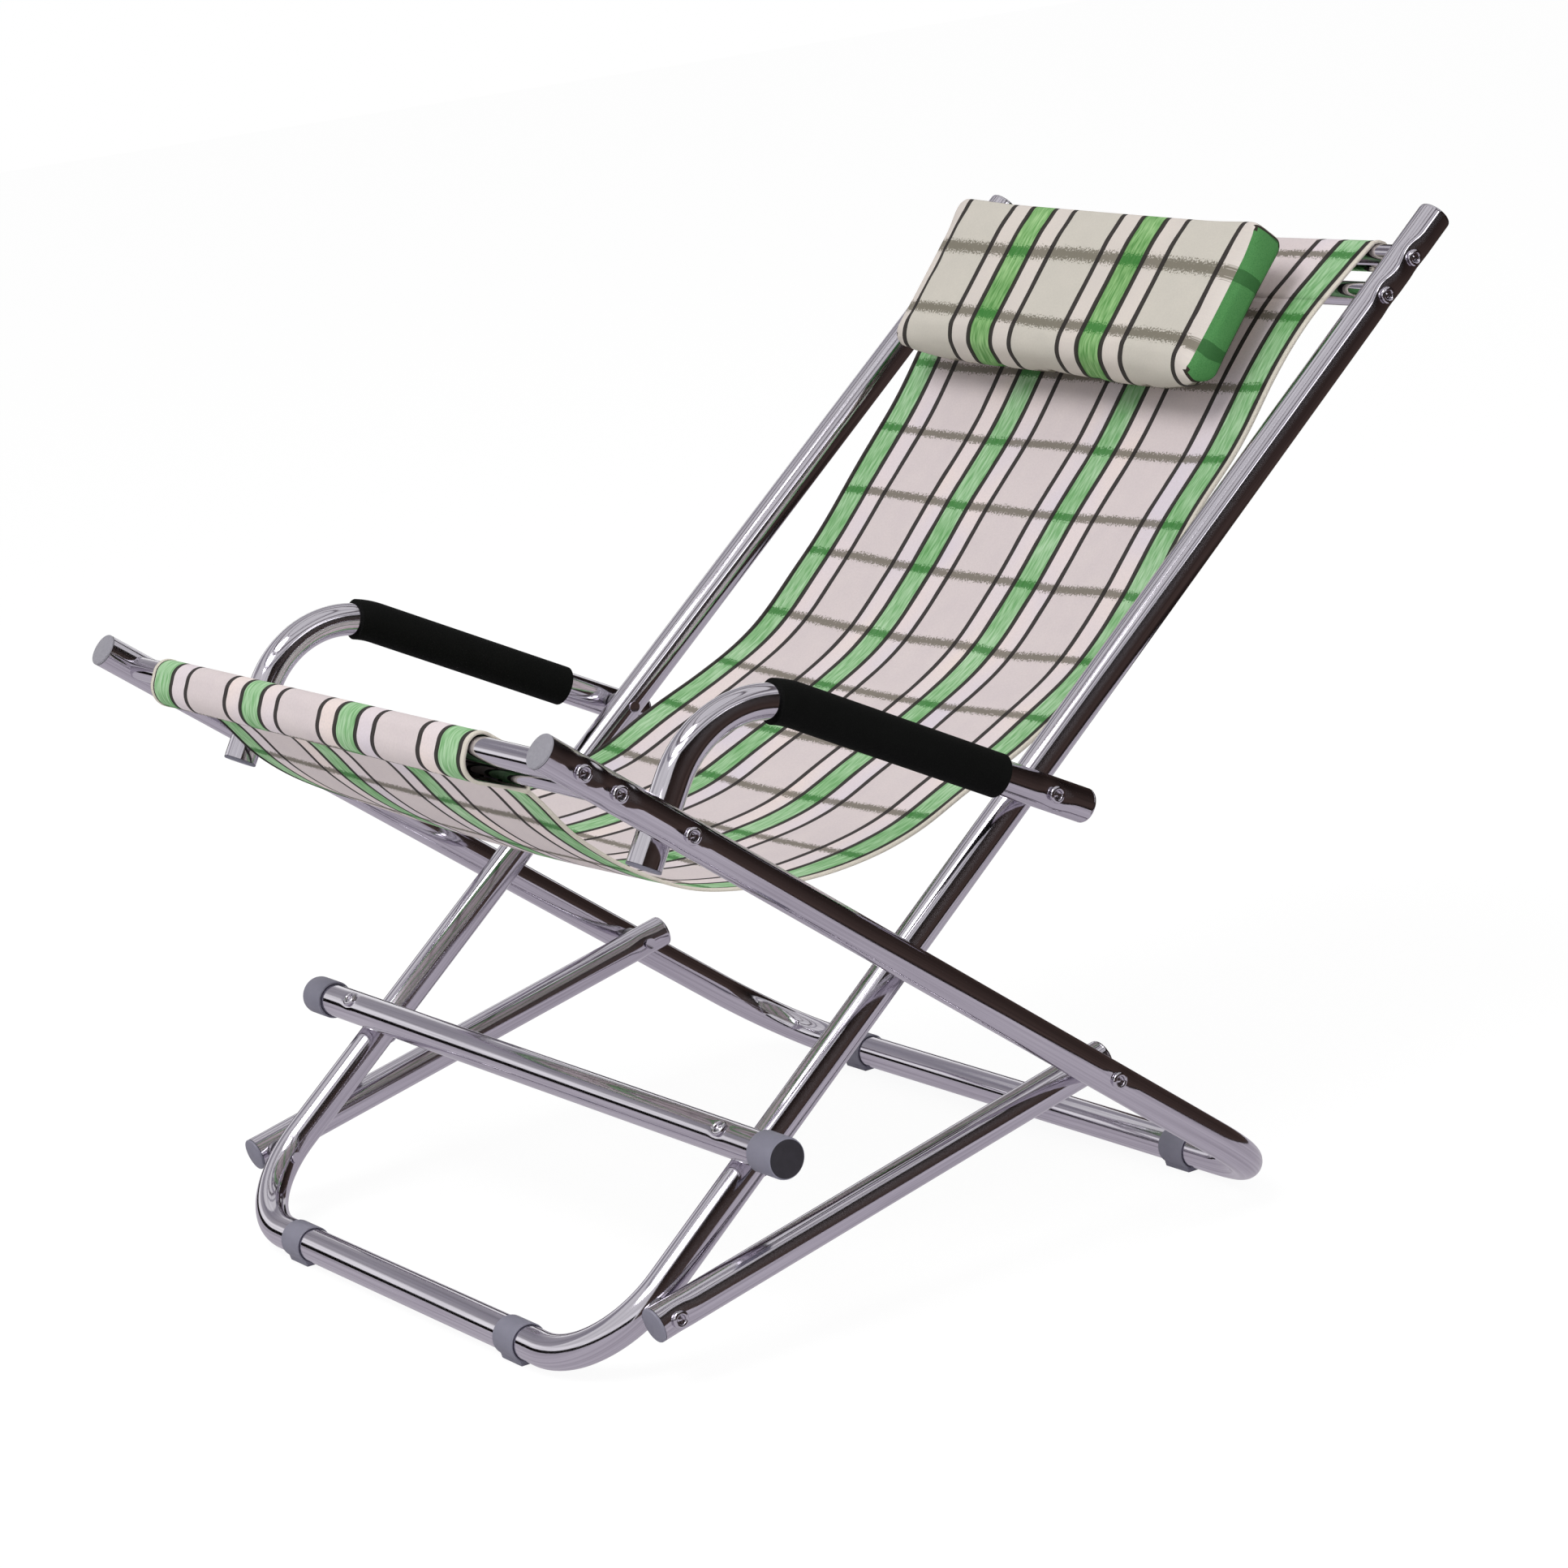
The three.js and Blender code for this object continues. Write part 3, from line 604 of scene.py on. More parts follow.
# End plugs: moulded discs pressed into the open ends of the tubes. Grey ones close the
# front ends, and bright ones with a rolled lip the rear ends and the back frame's top.
grey_plastic, start, shader = new_finish("grey_plastic")
place = on_object(start)
grain = noise(start, place, 700.0, 2.0)
blotch = noise(start, place, 55.0)
feed(mixed(blotch, tint(134, 132, 148), tint(114, 113, 127)), shader["Base Color"])
feed(0.42 + grain * 0.2, shader["Roughness"])
feed(grained(start, grain, 0.25), shader["Normal"])

disc_tones = (tint(152, 150, 158), tint(130, 128, 137))
disc_plastic = plain_finish("disc_plastic", disc_tones, 500.0, 2.0, 0.5, bump=0.2)

PLUG = mm((0, -9), (10.6, -9), (10.9, -8.4), (10.9, 0.2), (12.35, 0.25), (12.5, 0.6), (12.5, 1.5),
          (12.2, 2.0), (11.4, 2.3), (0, 2.3))
LIP = mm((0, -9), (10.6, -9), (10.9, -8.4), (10.9, 0.2), (12.3, 0.2), (12.5, 0.5), (12.4, 1.2), (12.0, 1.9),
         (11.2, 2.3), (10.4, 2.1), (9.8, 1.2), (9.4, 0.2), (0, -0.2))


def seated(obj, spot, direction):
    """Turns and moves a turned piece so that its axis runs along a direction."""
    turn = direction.to_track_quat("Z", "Y").to_matrix().to_4x4()
    obj.data.transform(Matrix.Translation(spot) @ turn)
    return obj


for label, side in SIDES.items():
    link = "lower_link_" + label
    arm = "arm_" + label
    back_top = back.at(side * back.half_width, back.length)
    seat_front = seat.at(side * seat.half_width, seat.length)
    link_front, link_rear, run = link_ends[label]
    arm_front, _, arm_rear = arm_paths[label]
    for node, body, spot, direction, profile, finish, slot in (
        ("back_top_plug_", "back_frame", back_top, back.along, LIP, chrome, "chrome"),
        ("seat_front_plug_", "seat_frame", seat_front, seat.along, PLUG, disc_plastic, "grey_plastic"),
        ("link_front_plug_", link, link_front, -run, PLUG, grey_plastic, "grey_plastic"),
        ("link_rear_plug_", link, link_rear, run, LIP, chrome, "chrome"),
        ("arm_front_plug_", arm, arm_front, -ARM_LEG, PLUG, grey_plastic, "grey_plastic"),
        ("arm_rear_plug_", arm, arm_rear, ARM_TOP, LIP, chrome, "chrome"),
    ):
        disc = turned(node + label + "_disc", profile, 48, finish)
        worn_on(seated(disc, spot, direction), body, slot, node + label)

# Stop bar caps: thick grey cups pushed over the ends of the stop bar, rounded at the
# outer edge, with a flat end face.
CUP = mm((0, 0.5), (12.7, 0.5), (12.75, -25), (13.4, -25.4), (14.3, -25.2), (14.6, -24.6), (14.6, 0.6),
         (14.3, 2.0), (13.4, 2.8), (12.2, 3.1), (0, 3.1))
CUP_END = 0.0031
CUP_FACE_FROM = 0.0025
cap_tones = (tint(26, 23, 31), tint(46, 42, 52))
cap_plastic = plain_finish("cap_plastic", cap_tones, 260.0, 3.0, 0.5, 0.2, bump=0.25)
for label, side in SIDES.items():
    cap_low, cap_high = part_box("stop_bar_cap_" + label)
    spot = (cap_low + cap_high) / 2
    spot.x = (cap_high.x if side > 0 else cap_low.x) - side * CUP_END
    cup = turned("stop_bar_end_cup_" + label, CUP, 48, grey_plastic)
    cup.data.materials.append(cap_plastic)
    for face in cup.data.polygons:
        if face.center.z > CUP_FACE_FROM:
            face.material_index = 1
    worn_on(seated(cup, spot, RIGHT * side), "back_frame", "grey_plastic", "stop_bar_cap_" + label)

# Foot sleeves: grey clips snapped round the floor bars, thicker below, with a flat sole
# that stands on the ground and softened edges.
FOOT_R = 0.014
FOOT_HOLE = 0.01265
FOOT_DROP = 0.015
FOOT_FLAT = 0.008
FOOT_ROUND_FROM = -50
FOOT_ROUND = 280
FOOT_STEPS = 32


def foot_ring(x):
    """The outline of a sleeve at one end, outer edge then hole, about the bar's axis."""
    outer = []
    for i in range(FOOT_STEPS + 1):
        a = math.radians(FOOT_ROUND_FROM) + math.radians(FOOT_ROUND) * i / FOOT_STEPS
        outer.append(Vector((x, FOOT_R * math.cos(a), FOOT_R * math.sin(a))))
    outer.append(Vector((x, -FOOT_FLAT, -FOOT_DROP)))
    outer.append(Vector((x, FOOT_FLAT, -FOOT_DROP)))
    hole = []
    for point in outer:
        a = math.atan2(point.z, point.y)
        hole.append(Vector((x, FOOT_HOLE * math.cos(a), FOOT_HOLE * math.sin(a))))
    return outer, hole


for node, body in (
    ("front_foot_left", "back_frame"),
    ("front_foot_right", "back_frame"),
    ("rear_foot_left", "seat_frame"),
    ("rear_foot_right", "seat_frame"),
):
    low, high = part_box(node)
    half = (high.x - low.x) / 2
    mesh = bmesh.new()
    rings = []
    for x in (-half, half):
        outer, hole = foot_ring(x)
        rings.append([mesh.verts.new(p) for p in outer])
        rings.append([mesh.verts.new(p) for p in hole])
    count = len(rings[0])
    for first, second in ((0, 2), (2, 3), (3, 1), (1, 0)):
        for i in range(count):
            j = (i + 1) % count
            mesh.faces.new((rings[first][i], rings[first][j], rings[second][j], rings[second][i]))
    bmesh.ops.recalc_face_normals(mesh, faces=mesh.faces)
    made = kept_mesh(node + "_sleeve", mesh)
    made.materials.append(grey_plastic)
    made.transform(Matrix.Translation(Vector(((low.x + high.x) / 2, (low.y + high.y) / 2, FOOT_DROP))))
    sleeve = new_object(node + "_sleeve", made)
    bevel = sleeve.modifiers.new("edges", "BEVEL")
    bevel.width = 0.0006
    bevel.segments = 2
    bevel.limit_method = "ANGLE"
    made.shade_smooth()
    made.set_sharp_from_angle(angle=math.radians(35))
    worn_on(sleeve, body, "grey_plastic", node)

# Plaid cloth: woven in coarse flat yarn, with green stripes between dark lines along
# its length and soft olive bands across. Positions on it are metres on the flat cloth.
STRIPE_PERIOD = 0.146
GREEN_HALF = 0.0152
PINK_OUTER = 0.0407
LINE_HALF = 0.0029
BAND_PERIOD = 0.0605
YARN = 0.0011
GRAIN = 560.0


def kept_within(value):
    """A value held between 0 and 1."""
    return value.calc("MINIMUM", value.calc("MAXIMUM", value, 0.0), 1.0)


def on_flat_cloth(start):
    return start.node("ShaderNodeUVMap", {"uv_map": "cloth"})


def plaid(name, across_shift, along_shift, band_half, grounds, pinks, greens):
    """The cloth's material. The shifts say where on the pattern the piece is cut."""
    material, start, shader = new_finish(name)
    place = on_flat_cloth(start)
    across, along, _ = place.parts()
    wander = noise(start, place, 26.0, 2.0) - 0.5
    drift = noise(start, place, 7.0, 1.0) - 0.5
    across = across + across_shift + wander * 0.0014
    along = along + along_shift + drift * 0.010
    near = across.calc("PINGPONG", across, STRIPE_PERIOD / 2)
    yarn_a = across.calc("SINE", across * (2 * math.pi / YARN))
    yarn_b = along.calc("SINE", along * (2 * math.pi / YARN))
    weave = yarn_a * yarn_b
    speckle = noise(start, place, 1400.0, 1.0)
    grit = kept_within(noise(start, place, GRAIN, 2.0) * 2.6 - 0.8)
    mottle = noise(start, place, 40.0, 4.0)
    tone = kept_within(noise(start, place, 13.0, 1.0) * 2.4 - 0.7)
    drawn_out = start.node("ShaderNodeMapping", None, {"Vector": place, "Scale": (1.0, 0.14, 1.0)})
    streak = kept_within(noise(start, drawn_out, 420.0, 2.0) * 2.8 - 0.9)
    green = mixed(tone, mixed(streak, *greens[:2]), mixed(streak, *greens[2:]))
    pink = mixed(grit * 0.3, mixed(tone, *pinks), tint(196, 186, 186))
    wide = mixed(mottle, *grounds)
    wide = mixed(grit * 0.16, wide, tint(170, 160, 158))
    ground = mixed(near < PINK_OUTER, wide, pink)
    ground = mixed(near < GREEN_HALF, ground, green)
    band_at = along.calc("PINGPONG", along, BAND_PERIOD / 2)
    dense = 1.5 - band_at * (1.5 / band_half)
    band = kept_within((dense - grit) * 2.5)
    olive = mixed(near < GREEN_HALF, tint(96, 90, 73), tint(30, 112, 28))
    ground = mixed(band * 0.84, ground, olive)
    off_green = (near - GREEN_HALF).calc("ABSOLUTE", near - GREEN_HALF)
    off_pink = (near - PINK_OUTER).calc("ABSOLUTE", near - PINK_OUTER)
    thin = LINE_HALF + wander * 0.0010
    line = off_green.calc("MAXIMUM", off_green < thin, off_pink < thin)
    ground = mixed(line * 0.97, ground, tint(27, 18, 15))
    feed(ground, shader["Base Color"])
    feed(0.82 + speckle * 0.12, shader["Roughness"])
    feed(grained(start, weave * 0.5 + speckle * 0.6, 0.3, 0.0004), shader["Normal"])
    return material


sling_grounds = (tint(219, 207, 206), tint(207, 195, 198))
sling_pinks = (tint(216, 206, 216), tint(232, 216, 211))
sling_greens = (tint(84, 148, 78), tint(146, 192, 140), tint(124, 178, 120), tint(186, 215, 180))
sling_cloth = plaid("sling_plaid", 0.075, 0.0, 0.0066, sling_grounds, sling_pinks, sling_greens)

# Sling: one length of the plaid cloth, hung from round the back frame's upper bar down
# to the seat frame's front bars. It narrows at the waist and is pulled to the right in front.
SLING_HALF = 0.238
WAIST_HALF = 0.223
WAIST_BEGINS = (-0.25, 0.04)
WAIST_ENDS = (0.27, 0.40)
SLING_PULL = 0.032
PULL_OVER = (0.02, 0.34)
SAG = 0.006
SAG_BEGINS = (-0.33, -0.2)
SAG_ENDS = (0.30, 0.37)
RIPPLE = 0.0012
CLOTH = 0.0014
WRAP_R = 0.0108
WRAP_TURN = 262
WRAP_STEPS = 8
SPAN_STEPS = 12
SLING_STEP = 0.005
LINE_FROM_FOOT = 0.376
SEAM_OFF = 0.0172
TO_SEAM = Vector((0, 6.3, -15.9)).normalized()
# Middle line of the cloth below the upper bar, as (y, z) from the level of the floor bars
SLING_LINE = [
    (0.3775, 0.620), (0.344, 0.593), (0.308, 0.553), (0.270, 0.507),
    (0.221, 0.459), (0.172, 0.408), (0.124, 0.367), (0.064, 0.337),
    (0.008, 0.314), (-0.043, 0.294), (-0.100, 0.2843), (-0.159, 0.281),
    (-0.218, 0.291), (-0.268, 0.316), (-0.304, 0.345), (-0.328, 0.375),
]
ORIGIN_Y = back.foot.y + LINE_FROM_FOOT
ORIGIN_Z = back.foot.z
upper_bar = centre("back_upper_bar")
rear_seat_bar = centre("seat_rear_bar")
front_seat_bar = centre("seat_front_bar")
wrap = []
for i in range(WRAP_STEPS + 1):
    a = math.radians(BACK_ANGLE + 90 - WRAP_TURN * (1 - i / WRAP_STEPS))
    wrap.append((upper_bar.y + WRAP_R * math.cos(a), upper_bar.z + WRAP_R * math.sin(a)))
meet = rear_seat_bar + TO_SEAM * SEAM_OFF
knots = wrap + [(y + ORIGIN_Y, z + ORIGIN_Z) for y, z in SLING_LINE] + [(meet.y, meet.z)]


def spline(knots, each):
    """A smooth line through the knots, as many points to each span."""
    points = []
    for i in range(len(knots) - 1):
        near = [knots[max(0, min(len(knots) - 1, i + j))] for j in (-1, 0, 1, 2)]
        for k in range(each):
            t = k / each
            point = []
            for p0, p1, p2, p3 in zip(*near):
                bend = 2 * p0 - 5 * p1 + 4 * p2 - p3
                cube = 3 * p1 - p0 - 3 * p2 + p3
                point.append(0.5 * (2 * p1 + (p2 - p0) * t + bend * t * t + cube * t * t * t))
            points.append(tuple(point))
    return points + [knots[-1]]


def even(points, step):
    """The same line at even steps, and each point's distance along it."""
    total = [0.0]
    for a, b in zip(points, points[1:]):
        total.append(total[-1] + math.dist(a, b))
    count = max(2, round(total[-1] / step))
    out = []
    i = 0
    for k in range(count + 1):
        want = total[-1] * k / count
        while i < len(total) - 2 and total[i + 1] < want:
            i += 1
        t = (want - total[i]) / max(1e-9, total[i + 1] - total[i])
        out.append((points[i][0] + (points[i + 1][0] - points[i][0]) * t,
                    points[i][1] + (points[i + 1][1] - points[i][1]) * t, want))
    return out


def ease(value, low, high):
    t = max(0.0, min(1.0, (value - low) / (high - low)))
    return t * t * (3 - 2 * t)


def half_width(y):
    """Half the sling's width, which is drawn in along the seat."""
    waist = ease(y, *WAIST_BEGINS) * (1 - ease(y, *WAIST_ENDS))
    return SLING_HALF - (SLING_HALF - WAIST_HALF) * waist


def pull(y):
    """How far the sling is pulled to the right towards its front."""
    return -SLING_PULL * ease(-y, *PULL_OVER)


def sheet_mesh(name, line, from_u, to_u, columns, thick, lift, finish, start_v=0.0):
    """Cloth along a line of (y, z, distance), from one share of its half width to another."""
    rows = []
    mesh = bmesh.new()
    flat = mesh.loops.layers.uv.new("cloth")
    place = {}
    for j, (y, z, distance) in enumerate(line):
        before = line[max(0, j - 1)]
        after = line[min(len(line) - 1, j + 1)]
        run = Vector((0, after[0] - before[0], after[1] - before[1])).normalized()
        up = Vector((0, run.z, -run.y))
        if up.z < 0 and lift["face_up"]:
            up = -up
        fit_y = y - ORIGIN_Y
        row = []
        for i in range(columns + 1):
            u = from_u + (to_u - from_u) * i / columns
            x = u * half_width(fit_y) + pull(fit_y)
            rise = lift["shape"](u, distance + start_v, fit_y)
            vertex = mesh.verts.new(Vector((x, y, z)) + up * rise)
            place[vertex] = (u * SLING_HALF, distance + start_v)
            row.append(vertex)
        rows.append(row)
    for low, high in zip(rows, rows[1:]):
        for i in range(columns):
            face = mesh.faces.new((low[i], low[i + 1], high[i + 1], high[i]))
            for loop in face.loops:
                loop[flat].uv = place[loop.vert]
    made = kept_mesh(name, mesh)
    made.materials.append(finish)
    made.shade_smooth()
    obj = new_object(name, made)
    solid = obj.modifiers.new("thickness", "SOLIDIFY")
    solid.thickness = thick
    solid.offset = 0.0
    settled(obj)
    return obj


def hang(u, distance, y):
    """How far the cloth lies off its middle line: it sags a little and ripples at its edges."""
    inside = ease(y, *SAG_BEGINS) * (1 - ease(y, *SAG_ENDS))
    sag = -SAG * (1 - u * u) * inside
    ripple = RIPPLE * math.sin(distance * 41 + u * 2.2) * abs(u) ** 3 * inside
    return sag + ripple


JOIN_UP_LEG = 0.953
PAST_WRAP = 20
whole_line = even(spline(knots, SPAN_STEPS), SLING_STEP)
join_y = back.at(0, JOIN_UP_LEG).y
cut = next(i for i, p in enumerate(whole_line) if i > PAST_WRAP and p[0] < join_y)
top_line = whole_line[:cut + 1]
main_line = whole_line[cut:]
CALM = {"face_up": False, "shape": lambda u, d, y: 0.0}
HANG = {"face_up": True, "shape": hang}
sling_top = sheet_mesh("sling_top", top_line, -1, 1, 60, CLOTH, CALM, sling_cloth)
sling = sheet_mesh("sling_cloth", main_line, -1, 1, 80, CLOTH, HANG, sling_cloth)

# Front roll: the sling's end goes over both front bars of the seat frame, round the
# foremost one in a full belly and back under them, where it is sewn to the sling. It is
# cut so that no olive band runs along its face.
ROLL_R = 0.0112
BELLY_R = 0.0156
BELLY_BEHIND = 0.006
BELLY_UNDER = 0.005
ROLL_FROM = 150
ROLL_TO = -108
ROLL_TURN = -3
ROLL_STEP = 0.0015
ROLL_SHIFT = 0.030
bar_run = (front_seat_bar - rear_seat_bar).normalized()
bar_up = Vector((0, -bar_run.z, bar_run.y))
if bar_up.z < 0:
    bar_up = -bar_up
belly = front_seat_bar - bar_run * BELLY_BEHIND - bar_up * BELLY_UNDER
rounds = ((rear_seat_bar, ROLL_R), (front_seat_bar, ROLL_R), (belly, BELLY_R))
roll = [(meet.y, meet.z)]
for degrees in range(ROLL_FROM, ROLL_TO, ROLL_TURN):
    a = math.radians(degrees)
    outward = bar_run * math.cos(a) + bar_up * math.sin(a)
    hub, radius = max(rounds, key=lambda pair: pair[0].dot(outward) + pair[1])
    spot = hub + outward * radius
    roll.append((spot.y, spot.z))
roll.append((meet.y, meet.z))
roll_line = even(roll, ROLL_STEP)
roll_start = main_line[-1][2] + ROLL_SHIFT
front_roll = sheet_mesh("sling_front_roll", roll_line, -1, 1, 80, CLOTH, CALM, sling_cloth, roll_start)

# Hems: the long edges of the sling are folded over and sewn, which shows as a narrow
# pale border, or on the right of the seat as a dark one, where a line of the pattern
# lies on the fold. A pale seam strip closes the front roll underneath.
HEM_FROM = 0.988
HEM_TO = 1.003
HEM_THICK = 0.0023
SEAM_R = 0.0022
hem_tones = (tint(222, 216, 204), tint(196, 188, 174))
hem_cloth = plain_finish("hem_cloth", hem_tones, 1200.0, 1.0, 0.9, bump=0.3, depth=0.0004)
for name, line, lift, body in (
    ("sling_top", top_line, CALM, "back_frame"),
    ("sling", main_line, HANG, "back_frame"),
    ("sling_front", roll_line, CALM, "seat_frame"),
):
    start_v = roll_start if body == "seat_frame" else 0.0
    for label, side in SIDES.items():
        edge = (HEM_FROM * side, HEM_TO * side)
        finish = sling_cloth if lift is HANG and label == "right" else hem_cloth
        hem = sheet_mesh(name + "_hem_" + label, line, *edge, 3, HEM_THICK, lift, finish, start_v)
        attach(hem, body)

seam_half = RIGHT * SLING_HALF
seam_middle = Vector((pull(meet.y - ORIGIN_Y), meet.y, meet.z))
seam_ends = [seam_middle - seam_half, seam_middle + seam_half]
seam = tube("sling_front_seam", seam_ends, SEAM_R, finish=hem_cloth)
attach(seam, "seat_frame")

worn_on(sling_top, "back_frame", "plaid_cloth")
worn_on(sling, "back_frame", "plaid_cloth", "sling")
worn_on(front_roll, "seat_frame", "plaid_cloth", "sling_front_loop")

# When the chair folds, the slack of the sling gathers towards the top and its front end
# comes up with the seat frame's bars. FOLD_TO is where the seam then lies from the join.
# Here the share of the sling that is kept is only worked out, and the gathered pieces get
# their own meshes; nothing is moved.
FOLD_TO = Vector((0, 0.6004, 0.1997))
gather = FOLD_TO.normalized()
join = Vector((0, main_line[0][0], main_line[0][1]))
keep = 1 - FOLD_TO.length / abs((meet - join).dot(gather))
gathered = [sling] + [bpy.data.objects["sling_hem_" + label] for label in SIDES]
for piece in gathered:
    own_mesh(piece)

for piece, length, bar, sewn_on in (
    (sling, main_line[-1][2] - main_line[0][2], "back_lower_bar", ["sling_hem_left", "sling_hem_right"]),
    (sling_top, top_line[-1][2], "back_upper_bar", ["sling_top_hem_left", "sling_top_hem_right"]),
    (front_roll, roll_line[-1][2], "seat_front_bar",
     ["sling_front_hem_left", "sling_front_hem_right", "sling_front_seam"]),
):
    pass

# Head pillow: a stuffed slab of the same cloth with boxed green ends, fixed on the sling
# below its top. Its face is softly crowned and its lower edge tucks in where it is sewn.
PILLOW_LENGTH = 0.398
PILLOW_HEIGHT = 0.144
PILLOW_THICK = 0.052
PILLOW_LEAN = math.radians(BACK_ANGLE + 12)
PILLOW_ASKEW = math.radians(-2.2)
PILLOW_START = (PILLOW_LENGTH * 0.985, PILLOW_HEIGHT * 0.97, PILLOW_THICK * 0.9)
PILLOW_EDGE = 0.011
PILLOW_VOXEL = 0.004
PILLOW_PULL = 0.0016
PILLOW_SHIFT = 0.0335
UNDER_FROM = -0.020
UNDER_SHARE = 0.78
OVER_EDGE = (0.060, 0.072)
END_DRAW = 0.006
END_DRAWN = (0.140, 0.180)
LAST_LINE = 0.182
TUFT_EVERY = 0.0625
TUFT_WIDTH = 0.005
TUFT_DEPTH = 0.015
PANEL_IN = 0.0024
SEAM_IN = 0.0044
SEAM_BELOW = 0.006
LOWER_SEAM = (-0.017, -0.0125)
STUFFING_FRAMES = 20
pillow_low, pillow_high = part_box("head_pillow")
pillow_middle = (pillow_low + pillow_high) / 2
pillow_turn = Matrix.Rotation(PILLOW_LEAN, 4, "X") @ Matrix.Rotation(PILLOW_ASKEW, 4, "Z")

pillow_grounds = (tint(205, 199, 188), tint(193, 189, 179))
pillow_pinks = (tint(206, 198, 191), tint(214, 205, 196))
pillow_greens = (tint(62, 124, 50), tint(128, 176, 106), tint(94, 154, 78), tint(160, 200, 140))
pillow_cloth = plaid(
    "pillow_plaid", 0.0765, PILLOW_SHIFT, 0.0098, pillow_grounds, pillow_pinks, pillow_greens
)

panel_cloth, start, shader = new_finish("pillow_end_panel")
place = on_object(start)
speckle = noise(start, place, 1200.0, 1.0)
mottle = noise(start, place, 50.0)
band_at = on_flat_cloth(start).parts()[1] + PILLOW_SHIFT
band_at = band_at.calc("PINGPONG", band_at, BAND_PERIOD / 2) + mottle * 0.004
panel_green = mixed(speckle, tint(44, 104, 48), tint(80, 142, 78))
feed(mixed((band_at < 0.0072) * 0.7, panel_green, tint(22, 78, 26)), shader["Base Color"])
feed(0.8 + mottle * 0.15, shader["Roughness"])
feed(grained(start, speckle, 0.3, 0.0004), shader["Normal"])

mesh = bmesh.new()
bmesh.ops.create_cube(mesh, size=1.0)
bmesh.ops.scale(mesh, verts=mesh.verts, vec=PILLOW_START)
bmesh.ops.bevel(mesh, geom=mesh.edges[:], offset=PILLOW_EDGE, segments=5, profile=0.5, affect="EDGES")
made = kept_mesh("head_pillow_cloth", mesh)
pillow = new_object("head_pillow_cloth", made)
remesh = pillow.modifiers.new("even", "REMESH")
remesh.mode = "VOXEL"
remesh.voxel_size = PILLOW_VOXEL
settled(pillow)
half = Vector((PILLOW_LENGTH, PILLOW_HEIGHT, PILLOW_THICK)) / 2


def filled_out(mesh):
    """Scales the pillow so that it fills its own length, height and thickness."""
    reach = [max(abs(v.co[k]) for v in mesh.vertices) for k in range(3)]
    for vertex in mesh.vertices:
        for k in range(3):
            vertex.co[k] *= half[k] / reach[k]


def unrolled(place):
    """Where a point of the pillow's skin lies on the cloth that it is cut from."""
    over_edge = (half.z - place.z) * ease(abs(place.y), *OVER_EDGE)
    along = place.y
    if along < UNDER_FROM:
        along = UNDER_FROM + (along - UNDER_FROM) * UNDER_SHARE
    across = min(place.x - END_DRAW * ease(place.x, *END_DRAWN), LAST_LINE)
    return across, along + math.copysign(over_edge, place.y)


filled_out(pillow.data)
seam_line, start, shader = new_finish("pillow_seam")
shader["Base Color"].default_value = tint(42, 34, 26)
shader["Roughness"].default_value = 0.9
for finish in (pillow_cloth, panel_cloth, seam_line):
    pillow.data.materials.append(finish)
flat = pillow.data.uv_layers.new(name="cloth")
for face in pillow.data.polygons:
    x, y, z = face.center
    end_seam = abs(x) > half.x - SEAM_IN and z < half.z - SEAM_BELOW
    lower_seam = y < -half.y + SEAM_BELOW and LOWER_SEAM[0] < z < LOWER_SEAM[1]
    if abs(x) > half.x - PANEL_IN:
        face.material_index = 1
    elif end_seam or lower_seam:
        face.material_index = 2
    for index in face.loop_indices:
        flat.data[index].uv = unrolled(pillow.data.vertices[pillow.data.loops[index].vertex_index].co)
before = [v.co.copy() for v in pillow.data.vertices]
stuffing = pillow.modifiers.new("stuffing", "CLOTH")
cloth = stuffing.settings
cloth.use_pressure = True
cloth.uniform_pressure_force = 2.5
cloth.tension_stiffness = cloth.compression_stiffness = 40
cloth.bending_stiffness = 4
cloth.effector_weights.gravity = 0.0
stuffing.point_cache.frame_start = 1
stuffing.point_cache.frame_end = STUFFING_FRAMES
for number in range(1, STUFFING_FRAMES + 1):
    scene.frame_set(number)
settled(pillow)
for vertex, old in zip(pillow.data.vertices, before):
    moved = vertex.co - old
    if moved.length > PILLOW_PULL:
        vertex.co = old + moved * (PILLOW_PULL / moved.length)
scene.frame_set(1)
subdivide = pillow.modifiers.new("soft", "SUBSURF")
subdivide.levels = subdivide.render_levels = 1
settled(pillow)
filled_out(pillow.data)


def stuffed(place):
    """Where a point of the pillow comes to lie when it is stuffed and sewn on."""
    x, y, z = place
    front = max(0.0, (z + 0.005) / 0.036)
    behind = max(0.0, (0.004 - z) / 0.035)
    # The ends of its face are rounded back.
    x -= math.copysign(0.007 * front ** 2.2 * ease(abs(x), half.x - 0.05, half.x), x)
    # Its lower edge is rounded under and drawn in at each tuft.
    to_tuft = abs((place.x / TUFT_EVERY) % 1 - 0.5) * TUFT_EVERY
    tuft = math.exp(-((TUFT_EVERY / 2 - to_tuft) / TUFT_WIDTH) ** 2)
    low = 0.062 - 0.014 * behind ** 1.5 - 0.012 * front ** 2.5 - TUFT_DEPTH * tuft * behind
    if y < UNDER_FROM:
        y = UNDER_FROM + (y - UNDER_FROM) * (low + UNDER_FROM) / (half.y + UNDER_FROM)
    # Its top edge is filled out square, and its back thins towards the ends.
    if z > 0:
        z += 0.9 * z / half.z * (half.z * 0.92 - z) * ease(y, 0.038, 0.066)
    z += 0.019 * ease(abs(x), half.x - 0.075, half.x) * (half.z - z) / (2 * half.z)
    return Vector((x, y, z))


for vertex in pillow.data.vertices:
    vertex.co = stuffed(vertex.co)
pillow.data.transform(Matrix.Translation(pillow_middle) @ pillow_turn)
pillow.data.shade_smooth()
worn_on(pillow, "back_frame", "plaid_cloth", "head_pillow")
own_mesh(pillow)

